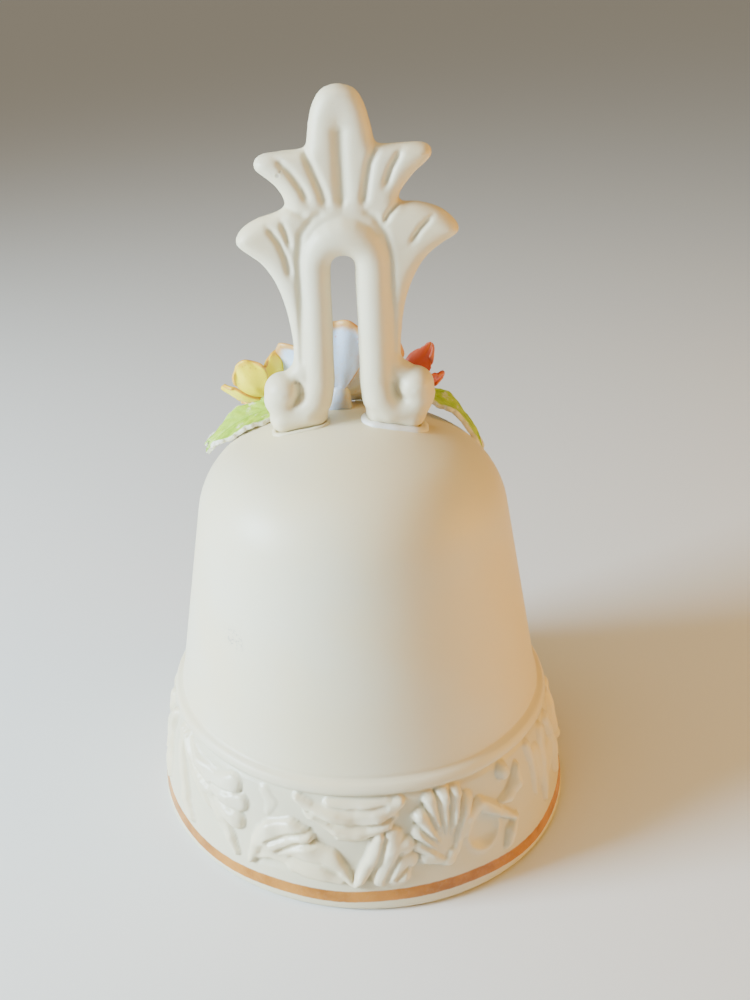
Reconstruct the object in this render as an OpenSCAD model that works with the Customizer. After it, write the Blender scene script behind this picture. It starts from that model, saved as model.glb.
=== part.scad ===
// Hand bell in unglazed porcelain: a slip-cast shell with a moulded palmette handle,
// hand-made flowers and leaves stuck to the crown, and a bead clapper hung inside.
// Millimetres, +Z up. The origin is the centre of the rim, on the plane it stands on.
// The plain back faces -Y and the flowers are on the +Y side.

/* [Shell] */
// Radius of the rim at its widest
rim_r = 41.7; // [39:0.1:44]
// Thickness of the cast wall
wall_t = 3; // [2.5:0.1:3.4]
// Radius of the wall where the flare begins
waist_r = 35.57; // [34.6:0.01:36.4]
// Height at which the flare begins
flare_z = 27.3; // [26.5:0.1:28.5]
// Angle of the plain wall from upright
wall_lean = 9.54; // [9:0.01:10]
// Radius of the shoulder
shoulder_r = 16.66; // [15:0.01:18]
// Height of the centre of the shoulder's arc
shoulder_z = 60.37; // [59:0.01:61]
// Radius of the crown
crown_r = 50.68; // [48:0.01:54]

/* [Handle] */
// Height of the whole bell, to the tip of the handle
total_h = 140; // [138:0.5:142]
// Radius of the tube of the arch
tube_r = 2.9; // [2.6:0.1:3.1]
// Half of the gap between the legs of the arch
gap_half = 2.3; // [2.2:0.05:2.6]
// Height of the top of the gap
gap_top_z = 111.4; // [109:0.1:113]
// Thickness of the palmette
palmette_t = 5.2; // [4:0.1:6]
// Depth of the feet
foot_t = 7; // [6:0.1:8]

/* [Flowers] */
// Radius of the cup of the rose's outer petals
rose_cup_r = 11.4; // [11:0.1:12.5]
// Radius of the cup of the two smaller flowers
bloom_cup_r = 6.4; // [5.8:0.1:6.6]
// Thickness of a petal
petal_t = 0.9; // [0.7:0.1:1.1]
// Thickness of a leaf
leaf_t = 1.1; // [0.8:0.1:1.4]

/* [Clapper] */
// Height of the lug's bar, which the link hangs on
lug_z = 69.5; // [68:0.1:70]
// Radius of the lug's bar
lug_bar_r = 1.6; // [1.3:0.1:1.8]
// Radius of the clapper's wire
wire_r = 0.6; // [0.5:0.05:0.7]
// Distance between the centres of the link's two ends
link_len = 16; // [12:0.5:18]
// Radius of the clapper's bead
bead_r = 8; // [7:0.1:8.2]
// Height of the centre of the bead
bead_z = 24; // [22:0.5:28]

/* [Hidden] */
$fn = 64;
eps = 0.01;

bisque = [0.90, 0.87, 0.80];
rose_pink = [0.86, 0.86, 0.90];
yellow_clay = [0.93, 0.78, 0.30];
red_clay = [0.74, 0.32, 0.22];
leaf_green = [0.72, 0.78, 0.52];
steel = [0.72, 0.72, 0.73];

// The crown's arc is centred on the axis, where it meets the shoulder's arc smoothly.
shoulder_x = waist_r + (flare_z - shoulder_z) * tan(wall_lean) - shoulder_r / cos(wall_lean);
crown_cz = shoulder_z - sqrt(pow(crown_r - shoulder_r, 2) - pow(shoulder_x, 2));
crown_z = crown_cz + crown_r;
crown_half_angle = asin(shoulder_x / (crown_r - shoulder_r));

// The link's ends turn round the lug's bar, and the pin's eye round the link's lower end.
running_gap = 0.25;
link_turn_r = lug_bar_r + running_gap + wire_r;
pin_z = lug_z - link_len - link_turn_r;
eye_turn_r = wire_r + running_gap + wire_r;
bead_bore_r = wire_r + 0.05;

leg_x = gap_half + tube_r;
arch_z = gap_top_z - gap_half;

// Points on an arc about c, from angle a0 to angle a1, in n steps
function arc(c, r, a0, a1, n) =
    [for (i = [0:n]) let (a = a0 + (a1 - a0) * i / n) [c[0] + r * cos(a), c[1] + r * sin(a)]];

// The flared foot of the bell from the rim up to the plain wall, moved in by `inset`
function flare(inset) = [
    [rim_r - 0.4 - inset, 0],
    [rim_r - inset, 1.2],
    [rim_r - 0.4 - inset, 3.9],
    [rim_r - 2.0 - inset, 9.4],
    [rim_r - 3.1 - inset, 15.7],
    [rim_r - 4.4 - inset, 21.8],
    [waist_r - inset, flare_z]
];

// Half section of a solid bell whose surface lies `inset` inside the outer one
module bell_section(inset) {
    polygon(concat(
        [[0, 0]],
        flare(inset),
        arc([shoulder_x, shoulder_z], shoulder_r - inset, wall_lean, 90 - crown_half_angle, 9),
        arc([0, crown_cz], crown_r - inset, 90 - crown_half_angle, 90, 6)
    ));
}

// Slip-cast shell, with the rib above its decorated band
module bell_shell() {
    rib_z = 23.85;
    rib_section_r = 1.1;
    color(bisque)
    difference() {
        union() {
            rotate_extrude() bell_section(0);
            rotate_extrude() translate([36.2, rib_z]) circle(r = rib_section_r, $fn = 24);
        }
        rotate_extrude()
        union() {
            bell_section(wall_t);
            translate([0, -1]) square([rim_r - 0.4 - wall_t, 1 + eps]);
        }
    }
}

// A tapering lobe between two circles, drawn with the lines that touch both
module lobe(p0, r0, p1, r1) {
    d = p1 - p0;
    turn = atan2(d[1], d[0]);
    open = acos((r0 - r1) / norm(d));
    translate(p0) circle(r = r0);
    translate(p1) circle(r = r1);
    polygon([
        for (s = [[p0, r0, open], [p0, r0, -open], [p1, r1, -open], [p1, r1, open]])
            s[0] + s[1] * [cos(turn + s[2]), sin(turn + s[2])]
    ]);
}

// Outline of the palmette in the X-Z plane: a top lobe and two lobes on each side
module palmette() {
    top_r = 5.2;
    lobe([0, 114], 7.2, [0, 127], 6.3);
    lobe([0, 125], 6.3, [0, total_h - top_r], top_r);
    lobe([2, 119], 5.4, [13.7, 128.3], 2.2);
    lobe([-2, 118.5], 5.4, [-12.8, 125.9], 2.2);
    lobe([4, 110], 6.4, [18, 115.6], 2.7);
    lobe([-4, 109.5], 6.4, [-16.3, 113], 2.7);
}

// Thin web beside each leg, from the lower side lobe down to the waist of the handle
module leg_web(side) {
    polygon([
        [side * 5, 92], [side * 9.6, 93], [side * 10.4, 99], [side * 12.2, 105],
        [side * 15.4, 110], [side * 8, 114]
    ]);
}

// Outline of a foot: the leg spreads into a scroll that turns outwards
module foot_outline(side) {
    lobe([side * 5.4, 82.6], 3, [side * 11.5, 84], 4.3);
    lobe([side * 4.9, 81.6], 2.5, [side * 11.2, 80.8], 2.6);
}

// One leg of the arch and its scroll foot, let a little into the crown
module leg(side) {
    foot_z = crown_z - 0.6;
    translate([side * leg_x, 0, foot_z]) cylinder(r = tube_r, h = arch_z - foot_z);
    rotate([90, 0, 0]) linear_extrude(height = foot_t, center = true) foot_outline(side);
    rotate([90, 0, 0]) linear_extrude(height = 3.4, center = true) leg_web(side);
}

// Palmette with the arch in front of it and behind it
module arch_and_palmette() {
    difference() {
        rotate([90, 0, 0]) linear_extrude(height = palmette_t, center = true) palmette();
        translate([-gap_half, -palmette_t, crown_z])
            cube([2 * gap_half, 2 * palmette_t, arch_z - crown_z]);
        translate([0, 0, arch_z])
            rotate([90, 0, 0]) cylinder(r = gap_half, h = 2 * palmette_t, center = true);
    }
    translate([0, 0, arch_z])
    rotate([90, 0, 0])
    rotate_extrude(angle = 180) translate([leg_x, 0]) circle(r = tube_r);
}

// Moulded handle: a palmette over an arch on two scroll feet
module handle() {
    color(bisque)
    union() {
        arch_and_palmette();
        for (side = [-1, 1]) leg(side);
    }
}

// Slip squeezed out round a foot, a thin ring that lies on the crown
module foot_slip(side) {
    slip_t = 0.6;
    margin = 0.8;
    foot_w = 10.6;
    color(bisque)
    difference() {
        intersection() {
            translate([0, 0, crown_cz]) sphere(r = crown_r + slip_t, $fn = 128);
            translate([side * 8.2, 0, 75]) linear_extrude(height = 8)
                square([foot_w + 2 * margin, foot_t + 2 * margin], center = true);
        }
        translate([0, 0, crown_cz]) sphere(r = crown_r, $fn = 128);
        translate([side * 8.2, 0, 74]) linear_extrude(height = 10) square([foot_w, foot_t], center = true);
    }
}

module slip_left() { foot_slip(-1); }
module slip_right() { foot_slip(1); }

// Stands a flower on its stem: spun on it, leaned forwards by `lean`, then turned about Z by `turn`
module stand(base, lean, turn, spin = 0) {
    translate(base) rotate([0, 0, turn]) rotate([-lean, 0, 0]) rotate([0, 0, spin]) children();
}

module stand_rose() { stand([-1.5, 10.8, 81.6], 52, 0) children(); }
module stand_yellow() { stand([-16, 14.2, 79.8], 50, 30, -45) children(); }
module stand_red() { stand([11.2, 20.5, 79.4], 62, -24, 45) children(); }

stem_r = 1.6;
petal_gap = 0.35;

// One petal: a round patch of a cup, cut to its own share of the ring and round the stem
module petal(cup_r, cup_z, lean, half_w, count, index) {
    share = 360 / count;
    reach = 4 * cup_r;
    rotate([0, 0, share * index - 90])
    difference() {
        intersection() {
            translate([0, 0, cup_z]) rotate([0, 180 - lean, 0]) rotate_extrude()
                intersection() {
                    difference() {
                        circle(r = cup_r + petal_t);
                        circle(r = cup_r);
                    }
                    square([half_w, 2 * cup_r]);
                }
            translate([petal_gap, 0, -cup_r]) linear_extrude(height = 4 * cup_r)
                polygon([
                    [0, 0],
                    reach * [cos(share / 2), -sin(share / 2)],
                    [reach, 0],
                    reach * [cos(share / 2), sin(share / 2)]
                ]);
        }
        translate([0, 0, -cup_r]) cylinder(r = stem_r, h = 4 * cup_r);
    }
}

// Heart of a flower on the stem that runs down into the crown
module core(heart_r, heart_z, stem_len) {
    union() {
        translate([0, 0, heart_z]) sphere(r = heart_r);
        translate([0, 0, -stem_len]) cylinder(r = stem_r, h = stem_len + heart_z);
    }
}

module rose_core() { color(rose_pink) stand_rose() core(3.4, 6, 5); }
module rose_inner_petal(i) {
    inner_r = 7;
    color(rose_pink) stand_rose() petal(inner_r, inner_r + 1.3, 44, 5.3, 3, i);
}
module rose_outer_petal(i) {
    color(rose_pink) stand_rose() petal(rose_cup_r, rose_cup_r, 36, 7.5, 5, i);
}
module yellow_core() { color(yellow_clay) stand_yellow() core(2, 2.2, 6); }
module yellow_petal(i) {
    color(yellow_clay) stand_yellow() petal(bloom_cup_r, bloom_cup_r, 36, 3.9, 5, i);
}
module red_core() { color(red_clay) stand_red() core(2, 2.2, 8); }
module red_petal(i) {
    color(red_clay) stand_red() petal(bloom_cup_r, bloom_cup_r, 36, 3.9, 5, i);
}

// A pointed leaf along +X from the origin, bent down over a cylinder of radius bend_r
module leaf(len, width, bend_r) {
    edge_r = (len * len + width * width) / (4 * width);
    intersection() {
        translate([0, 0, -bend_r])
        rotate([90, 0, 0])
        difference() {
            cylinder(r = bend_r, h = 2 * width, center = true, $fn = 128);
            cylinder(r = bend_r - leaf_t, h = 3 * width, center = true, $fn = 128);
        }
        translate([len / 2, edge_r - width / 2, -len]) cylinder(r = edge_r, h = 2 * len, $fn = 128);
        translate([len / 2, width / 2 - edge_r, -len]) cylinder(r = edge_r, h = 2 * len, $fn = 128);
    }
}

// Places a leaf: `turn` about Z, `dip` of its tip, `roll` about its own length
module lay(base, turn, dip, roll) {
    translate(base) rotate([0, 0, turn]) rotate([0, dip, 0]) rotate([roll, 0, 0]) children();
}

module leaf_left() { color(leaf_green) lay([-12.8, 10, 79.2], 188, 5, -12) leaf(17, 9, 22); }
module leaf_right() { color(leaf_green) lay([12, 10.6, 81.6], -8, 6, 2) leaf(15.5, 7, 16); }
module leaf_front_left() { color(leaf_green) lay([-7, 20.6, 76.6], 118, 24, 0) leaf(17, 9, 17); }
module leaf_front_right() { color(leaf_green) lay([5.4, 21, 76.6], 82, 24, 0) leaf(16, 9, 17); }

// Clay staple under the crown, with its curved bar at the bottom
module clapper_lug() {
    bend_r = 4;
    bend_z = lug_z + bend_r;
    leg_h = crown_z - wall_t - bend_z + 0.4;
    color(bisque)
    union() {
        translate([0, 0, bend_z])
        rotate([-90, 0, 0])
        rotate_extrude(angle = 180) translate([bend_r, 0]) circle(r = lug_bar_r, $fn = 32);
        for (side = [-1, 1])
            translate([side * bend_r, 0, bend_z]) cylinder(r = lug_bar_r, h = leg_h, $fn = 32);
    }
}

// Half of a wire turn in the Y-Z plane; `up` is 1 for a top turn and -1 for a bottom one
module wire_turn(z, up) {
    translate([0, 0, z])
    rotate([0, 0, 90])
    rotate([up * 90, 0, 0])
    rotate_extrude(angle = 180) translate([link_turn_r, 0]) circle(r = wire_r, $fn = 24);
}

// Long wire link between the lug and the pin's eye
module wire_link() {
    color(steel)
    union() {
        wire_turn(lug_z, 1);
        wire_turn(lug_z - link_len, -1);
        for (side = [-1, 1])
            translate([0, side * link_turn_r, lug_z - link_len]) cylinder(r = wire_r, h = link_len, $fn = 24);
    }
}

// Wire ring in the X-Z plane, on the clapper's pin
module pin_ring(z, turn_r) {
    translate([0, 0, z])
    rotate([90, 0, 0])
    rotate_extrude() translate([turn_r, 0]) circle(r = wire_r, $fn = 24);
}

// Pin through the bead, with an eye at its top and a curl under the bead
module eye_pin() {
    curl_turn_r = 1.3;
    curl_z = bead_z - bead_r - 0.25 - wire_r - curl_turn_r;
    color(steel)
    union() {
        pin_ring(pin_z, eye_turn_r);
        pin_ring(curl_z, curl_turn_r);
        translate([0, 0, curl_z + curl_turn_r])
            cylinder(r = wire_r, h = pin_z - eye_turn_r - curl_z - curl_turn_r, $fn = 24);
    }
}

// Glazed bead that turns freely on the pin
module clapper_bead() {
    color(bisque)
    translate([0, 0, bead_z])
    difference() {
        sphere(r = bead_r);
        cylinder(r = bead_bore_r, h = 3 * bead_r, center = true, $fn = 24);
    }
}

bell_shell();
handle();
slip_left();
slip_right();
rose_core();
for (i = [1:3]) rose_inner_petal(i - 0.5);
for (i = [1:5]) rose_outer_petal(i - 1);
yellow_core();
for (i = [1:5]) yellow_petal(i - 1);
red_core();
for (i = [1:5]) red_petal(i - 1);
leaf_left();
leaf_right();
leaf_front_left();
leaf_front_right();
clapper_lug();
wire_link();
eye_pin();
clapper_bead();
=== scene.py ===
"""Looks of a porcelain hand bell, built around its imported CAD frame.

The shell is spun and its band carved, the handle is a palmette fused with the tube of
its arch, the flowers and leaves are cupped and bent sheets of clay, and the clapper is
bent wire with a glazed bead. Lengths in the sub-assemblies are millimetres.
"""

import logging
import math
from dataclasses import dataclass, field
from enum import Enum
from typing import Callable, Iterable, Sequence

import bmesh
import bpy
import numpy as np
from mathutils import Matrix, Vector, noise


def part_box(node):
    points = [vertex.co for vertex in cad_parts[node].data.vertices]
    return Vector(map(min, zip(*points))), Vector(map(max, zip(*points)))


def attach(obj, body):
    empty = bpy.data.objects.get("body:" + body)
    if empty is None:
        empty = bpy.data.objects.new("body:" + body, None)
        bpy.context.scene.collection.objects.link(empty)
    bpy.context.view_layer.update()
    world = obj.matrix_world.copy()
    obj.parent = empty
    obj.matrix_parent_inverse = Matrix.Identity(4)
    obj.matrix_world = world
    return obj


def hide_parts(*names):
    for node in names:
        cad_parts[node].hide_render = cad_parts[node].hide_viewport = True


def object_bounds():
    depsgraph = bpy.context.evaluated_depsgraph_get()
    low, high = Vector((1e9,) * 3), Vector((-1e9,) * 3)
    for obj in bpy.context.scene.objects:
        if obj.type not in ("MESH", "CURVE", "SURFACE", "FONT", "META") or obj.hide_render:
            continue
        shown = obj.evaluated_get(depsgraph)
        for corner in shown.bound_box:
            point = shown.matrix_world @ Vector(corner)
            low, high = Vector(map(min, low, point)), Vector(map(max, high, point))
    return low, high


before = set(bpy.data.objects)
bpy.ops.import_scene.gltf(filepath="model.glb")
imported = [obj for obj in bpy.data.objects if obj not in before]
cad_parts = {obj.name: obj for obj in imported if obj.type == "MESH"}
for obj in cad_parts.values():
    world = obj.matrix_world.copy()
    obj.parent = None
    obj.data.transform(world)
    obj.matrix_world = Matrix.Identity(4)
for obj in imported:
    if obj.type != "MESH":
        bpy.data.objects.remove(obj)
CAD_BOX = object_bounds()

log = logging.getLogger("bell")

MM = 0.001
Point = tuple[float, float, float]
Spine = Sequence[Point]
Colour = tuple[float, float, float, float]
HANDLE_PITS = ((-10.5, 125.8, 0.42), (-10.0, 126.5, 0.25), (-9.3, 88.2, 0.4), (-8.6, 88.0, 0.32))


class Body(Enum):
    """The bodies that pieces ride on."""

    BELL = "bell"
    BEAD = "bead"


class Face(Enum):
    """Material places on a sheet of clay that was given its thickness."""

    INNER = 0
    OUTER = 1
    EDGE = 2


@dataclass(frozen=True)
class NodeBox:
    """Where a CAD node lies, in mm."""

    low: Vector
    high: Vector

    @classmethod
    def of(cls, node: str) -> "NodeBox":
        """Reads a node's box from the frame.

        Args:
            node: The CAD node's name.

        Returns:
            Its box in mm.
        """
        low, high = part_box(node)
        return cls(low / MM, high / MM)

    @property
    def middle(self) -> Vector:
        """The box's middle.

        Returns:
            The point in mm.
        """
        return (self.low + self.high) / 2.0


# --------------------------------------------------------------------------------------
# Shader maths
# --------------------------------------------------------------------------------------


class Signal:
    """A number that varies over a surface. Arithmetic on it adds Math nodes."""

    def __init__(self, kit: "FinishKit", socket: bpy.types.NodeSocket) -> None:
        """Wraps an output socket.

        Args:
            socket: The output socket to wrap.
        """
        self.kit = kit
        self.socket = socket

    def _math(self, operation: str, *values: "Signal | float") -> "Signal":
        """Adds one Math node.

        Args:
            operation: The node's operation.
            values: Its inputs, in order.

        Returns:
            The node's result.
        """
        inputs = {i: v for i, v in enumerate(values)}
        node = self.kit.node("ShaderNodeMath", {"operation": operation}, inputs)
        return Signal(self.kit, node.outputs[0])

    def __add__(self, other: "Signal | float") -> "Signal":
        """Adds another value.

        Args:
            other: The value to add.

        Returns:
            The sum.
        """
        return self._math("ADD", self, other)

    def __radd__(self, other: float) -> "Signal":
        """Adds a number on the left.

        Args:
            other: The number.

        Returns:
            The sum.
        """
        return self._math("ADD", other, self)

    def __sub__(self, other: "Signal | float") -> "Signal":
        """Takes another value away.

        Args:
            other: The value to take away.

        Returns:
            The difference.
        """
        return self._math("SUBTRACT", self, other)

    def __rsub__(self, other: float) -> "Signal":
        """Takes this from a number.

        Args:
            other: The number.

        Returns:
            The difference.
        """
        return self._math("SUBTRACT", other, self)

    def __mul__(self, other: "Signal | float") -> "Signal":
        """Multiplies by another value.

        Args:
            other: The factor.

        Returns:
            The product.
        """
        return self._math("MULTIPLY", self, other)

    def __rmul__(self, other: float) -> "Signal":
        """Multiplies a number on the left.

        Args:
            other: The number.

        Returns:
            The product.
        """
        return self._math("MULTIPLY", other, self)

    def __pow__(self, other: float) -> "Signal":
        """Raises to a power.

        Args:
            other: The power.

        Returns:
            The result.
        """
        return self._math("POWER", self, other)

    def at_least(self, other: "Signal | float") -> "Signal":
        """Keeps the larger of two values.

        Args:
            other: The other value.

        Returns:
            The larger one.
        """
        return self._math("MAXIMUM", self, other)

    def at_most(self, other: "Signal | float") -> "Signal":
        """Keeps the smaller of two values.

        Args:
            other: The other value.

        Returns:
            The smaller one.
        """
        return self._math("MINIMUM", self, other)

    def step(self, low: float, high: float) -> "Signal":
        """A smooth rise from 0 at low to 1 at high.

        Args:
            low: The value at which the rise starts.
            high: The value at which it ends, below low for a fall.

        Returns:
            The eased mask.
        """
        flip = high < low
        first, last = (high, low) if flip else (low, high)
        node = self.kit.node(
            "ShaderNodeMapRange",
            {"interpolation_type": "SMOOTHSTEP", "clamp": True},
            {0: self, 1: first, 2: last},
        )
        rise = Signal(self.kit, node.outputs[0])
        return 1.0 - rise if flip else rise


class FinishKit:
    """Builds one node material with a Principled shader."""

    def __init__(self, name: str) -> None:
        """Starts an empty material.

        Args:
            name: The material's name.
        """
        self.material = bpy.data.materials.new(name)
        self.material.use_nodes = True
        self.tree = self.material.node_tree
        self.tree.nodes.clear()
        self.shader = self.tree.nodes.new("ShaderNodeBsdfPrincipled")
        output = self.tree.nodes.new("ShaderNodeOutputMaterial")
        self.tree.links.new(self.shader.outputs[0], output.inputs["Surface"])
        self.where = self.node("ShaderNodeTexCoord").outputs["Object"]

    def node(self, kind: str, settings: dict | None = None, inputs: dict | None = None) -> bpy.types.Node:
        """Adds any node.

        Args:
            kind: The node's type.
            settings: Properties that are set first.
            inputs: Values or links of its sockets, by name or index.

        Returns:
            The new node.
        """
        made = self.tree.nodes.new(kind)
        for key, value in (settings or {}).items():
            setattr(made, key, value)
        for key, value in (inputs or {}).items():
            self.feed(made.inputs[key], value)
        return made

    def feed(self, target: bpy.types.NodeSocket, value: object) -> None:
        """Sets a socket to a constant, or links it.

        Args:
            target: The input socket.
            value: A number, a colour, a Signal or an output socket.
        """
        if isinstance(value, Signal):
            self.tree.links.new(value.socket, target)
        elif isinstance(value, bpy.types.NodeSocket):
            self.tree.links.new(value, target)
        else:
            target.default_value = value

    def set(self, **values: object) -> None:
        """Feeds the shader's sockets.

        Args:
            values: The sockets' values, by name with underscores for blanks.
        """
        for key, value in values.items():
            self.feed(self.shader.inputs[key.replace("_", " ")], value)

    def axis(self, which: str) -> Signal:
        """One object coordinate, in metres.

        Args:
            which: X, Y or Z.

        Returns:
            The coordinate.
        """
        split = self.node("ShaderNodeSeparateXYZ", {}, {0: self.where})
        return Signal(self, split.outputs[which])

    def attribute(self, name: str) -> tuple[Signal, Signal, Signal]:
        """A colour attribute of the mesh.

        Args:
            name: The attribute's name.

        Returns:
            Its three channels.
        """
        read = self.node("ShaderNodeAttribute", {"attribute_name": name})
        split = self.node("ShaderNodeSeparateColor", {}, {0: read.outputs["Color"]})
        return tuple(Signal(self, split.outputs[i]) for i in range(3))

    def cloud(self, per_mm: float, detail: float = 3.0, rough: float = 0.55, shift: float = 0.0) -> Signal:
        """Noise from 0 to 1.

        Args:
            per_mm: Its scale, in features per millimetre.
            detail: Octaves.
            rough: Weight of the finer octaves.
            shift: Offset that makes it another pattern.

        Returns:
            The noise.
        """
        moved = self.node(
            "ShaderNodeVectorMath", {"operation": "ADD"}, {0: self.where, 1: (shift, shift * 0.7, -shift)}
        )
        made = self.node(
            "ShaderNodeTexNoise",
            {"noise_dimensions": "3D"},
            {"Vector": moved.outputs[0], "Scale": per_mm / MM, "Detail": detail, "Roughness": rough},
        )
        return Signal(self, made.outputs["Fac"])

    def specks(self, per_mm: float, size: float) -> Signal:
        """Sparse round specks, 1 inside them.

        Args:
            per_mm: Cells per millimetre.
            size: Radius of a speck, in cells.

        Returns:
            The mask.
        """
        cells = self.node(
            "ShaderNodeTexVoronoi", {"feature": "F1"}, {"Vector": self.where, "Scale": per_mm / MM}
        )
        return Signal(self, cells.outputs["Distance"]).step(size, size * 0.4)

    def spot(self, across_mm: float, up_mm: float, radius_mm: float) -> Signal:
        """A soft round spot on the side that faces -Y.

        Args:
            across_mm: Its X.
            up_mm: Its Z.
            radius_mm: Its radius.

        Returns:
            1 inside the spot.
        """
        x = self.axis("X") * (1.0 / MM) - across_mm
        z = self.axis("Z") * (1.0 / MM) - up_mm
        away = (x * x + z * z) ** 0.5
        return away.step(radius_mm, radius_mm * 0.45) * self.axis("Y").step(0.0, -0.001)

    def mix(self, mask: Signal | float, under: object, over: object) -> bpy.types.NodeSocket:
        """Mixes two colours.

        Args:
            mask: 0 for the colour under, 1 for the colour over.
            under: A colour or socket.
            over: A colour or socket.

        Returns:
            The colour's socket.
        """
        made = self.node(
            "ShaderNodeMix",
            {"data_type": "RGBA", "blend_type": "MIX", "clamp_factor": True},
            {0: mask, 6: under, 7: over},
        )
        return made.outputs[2]

    def bump(self, height: Signal, depth_mm: float, strength: float) -> None:
        """Bumps the surface.

        Args:
            height: The height field, about 0 to 1.
            depth_mm: What a height of 1 stands for.
            strength: The bump's strength.
        """
        made = self.node(
            "ShaderNodeBump", {}, {"Height": height, "Distance": depth_mm * MM, "Strength": strength}
        )
        self.set(Normal=made.outputs[0])

    def glow(self, weight: float, spread: Point, reach_mm: float) -> None:
        """Lets light into the clay.

        Args:
            weight: How much of it.
            spread: How far each colour goes, over the reach.
            reach_mm: The reach.
        """
        self.set(Subsurface_Weight=weight, Subsurface_Radius=spread, Subsurface_Scale=reach_mm * MM)


# --------------------------------------------------------------------------------------
# Finishes
# --------------------------------------------------------------------------------------


def rgb(red: float, green: float, blue: float) -> Colour:
    """Makes an opaque colour, in linear light.

    Args:
        red: Its red.
        green: Its green.
        blue: Its blue.

    Returns:
        The colour.
    """
    return (red, green, blue, 1.0)


@dataclass(frozen=True)
class Bisque:
    """Unglazed white porcelain, faintly uneven, with pinholes and a few kiln specks."""

    name: str = "bisque"
    body: Colour = rgb(0.82, 0.725, 0.49)
    cool: Colour = rgb(0.80, 0.745, 0.56)
    speck: Colour = rgb(0.30, 0.26, 0.20)
    roughness: float = 0.44
    uneven: float = 0.12
    tooth_mm: float = 0.03
    pits: tuple[Point, ...] = ()

    def ground(self, kit: FinishKit) -> bpy.types.NodeSocket:
        """Colour of the clay itself.

        Args:
            kit: The material's kit.

        Returns:
            The colour's socket.
        """
        drift = kit.cloud(0.035, 2.0, 0.5).step(0.35, 0.7)
        tone = kit.mix(drift, self.body, self.cool)
        for across, up, radius in self.pits:
            tone = kit.mix(kit.spot(across, up, radius) * 0.5, tone, self.speck)
        rare = kit.specks(0.13, 0.05) * kit.cloud(0.05, 1.0, 0.5, 3.0).step(0.55, 0.62)
        return kit.mix(rare * 0.6, tone, self.speck)

    def grain(self, kit: FinishKit) -> Signal:
        """Height of the fired surface: a fine tooth and pinholes.

        Args:
            kit: The material's kit.

        Returns:
            The height field.
        """
        return kit.cloud(2.2, 4.0, 0.65) * 0.5 + kit.cloud(0.25, 2.0, 0.5, 5.0) - kit.specks(0.45, 0.09) * 0.6

    def fire(self, kit: FinishKit, tone: bpy.types.NodeSocket, dull: Signal | float, height: Signal) -> None:
        """Sets the shader of fired clay.

        Args:
            kit: The material's kit.
            tone: The colour.
            dull: The roughness, before its own unevenness.
            height: The height field.
        """
        rough = dull + (kit.cloud(0.4, 3.0) - 0.5) * self.uneven
        kit.set(Base_Color=tone, Roughness=rough, Specular_IOR_Level=0.42)
        kit.glow(0.12, (1.0, 0.8, 0.6), 1.2)
        kit.bump(height, self.tooth_mm, 0.7)

    def make(self) -> bpy.types.Material:
        """Builds the material.

        Returns:
            The material.
        """
        kit = FinishKit(self.name)
        height = self.grain(kit)
        for across, up, radius in self.pits:
            height = height - kit.spot(across, up, radius * 1.2) * 4.0
        self.fire(kit, self.ground(kit), self.roughness, height)
        return kit.material


@dataclass(frozen=True)
class ShellBisque(Bisque):
    """The shell's bisque: a slightly glossier carved band with painted shade in the recesses of its carving,
    and a painted line round the rim.
    """

    name: str = "bisque_shell"
    # painted shade: the colour that the recesses of the carved band are darkened towards
    recess_shade_colour: Colour = rgb(0.66, 0.62, 0.46)
    line: Colour = rgb(0.56, 0.23, 0.03)
    line_dark: Colour = rgb(0.34, 0.12, 0.01)
    scuff: Point = (-22.0, 47.0, 2.6)
    line_low_mm: float = 2.3
    line_high_mm: float = 4.5
    band_top_mm: float = 23.5

    def line_mask(self, kit: FinishKit) -> Signal:
        """Where the painted line is, with a hand's waver and a soft edge.

        Args:
            kit: The material's kit.

        Returns:
            1 on the line.
        """
        waver = (kit.cloud(0.035, 1.0, 0.4, 7.0) - 0.5) * 2.2 + (kit.cloud(0.8, 2.0) - 0.5) * 0.22
        height = kit.axis("Z") * (1.0 / MM) + waver
        outside = kit.attribute("carving")[1]
        above = height.step(self.line_low_mm - 0.15, self.line_low_mm + 0.15)
        below = height.step(self.line_high_mm + 0.15, self.line_high_mm - 0.15)
        return above * below * outside

    def make(self) -> bpy.types.Material:
        """Builds the material.

        Returns:
            The material.
        """
        kit = FinishKit(self.name)
        raised, outside, _ = kit.attribute("carving")
        band = (kit.axis("Z") * (1.0 / MM)).step(self.band_top_mm + 1.0, self.band_top_mm - 1.0) * outside
        # painted shade: the band is darkened where its carving is low, in the recesses
        painted_recess_shade = band * raised.step(0.45, 0.0) * 0.55
        clay = kit.mix(painted_recess_shade, self.ground(kit), self.recess_shade_colour)
        rub = kit.spot(*self.scuff) * kit.cloud(1.3, 4.0, 0.7, 6.0).step(0.5, 0.62) * outside
        clay = kit.mix(rub * 0.45, clay, self.speck)
        line = self.line_mask(kit)
        paint = kit.mix(kit.cloud(0.16, 3.0, 0.6, 2.0).step(0.35, 0.75), self.line, self.line_dark)
        cover = line * (0.9 + kit.cloud(1.6, 2.0) * 0.2).at_most(1.0)
        dull = self.roughness - band * 0.12 - line * 0.1
        self.fire(kit, kit.mix(cover, clay, paint), dull, self.grain(kit) + line * 0.6)
        return kit.material


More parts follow.
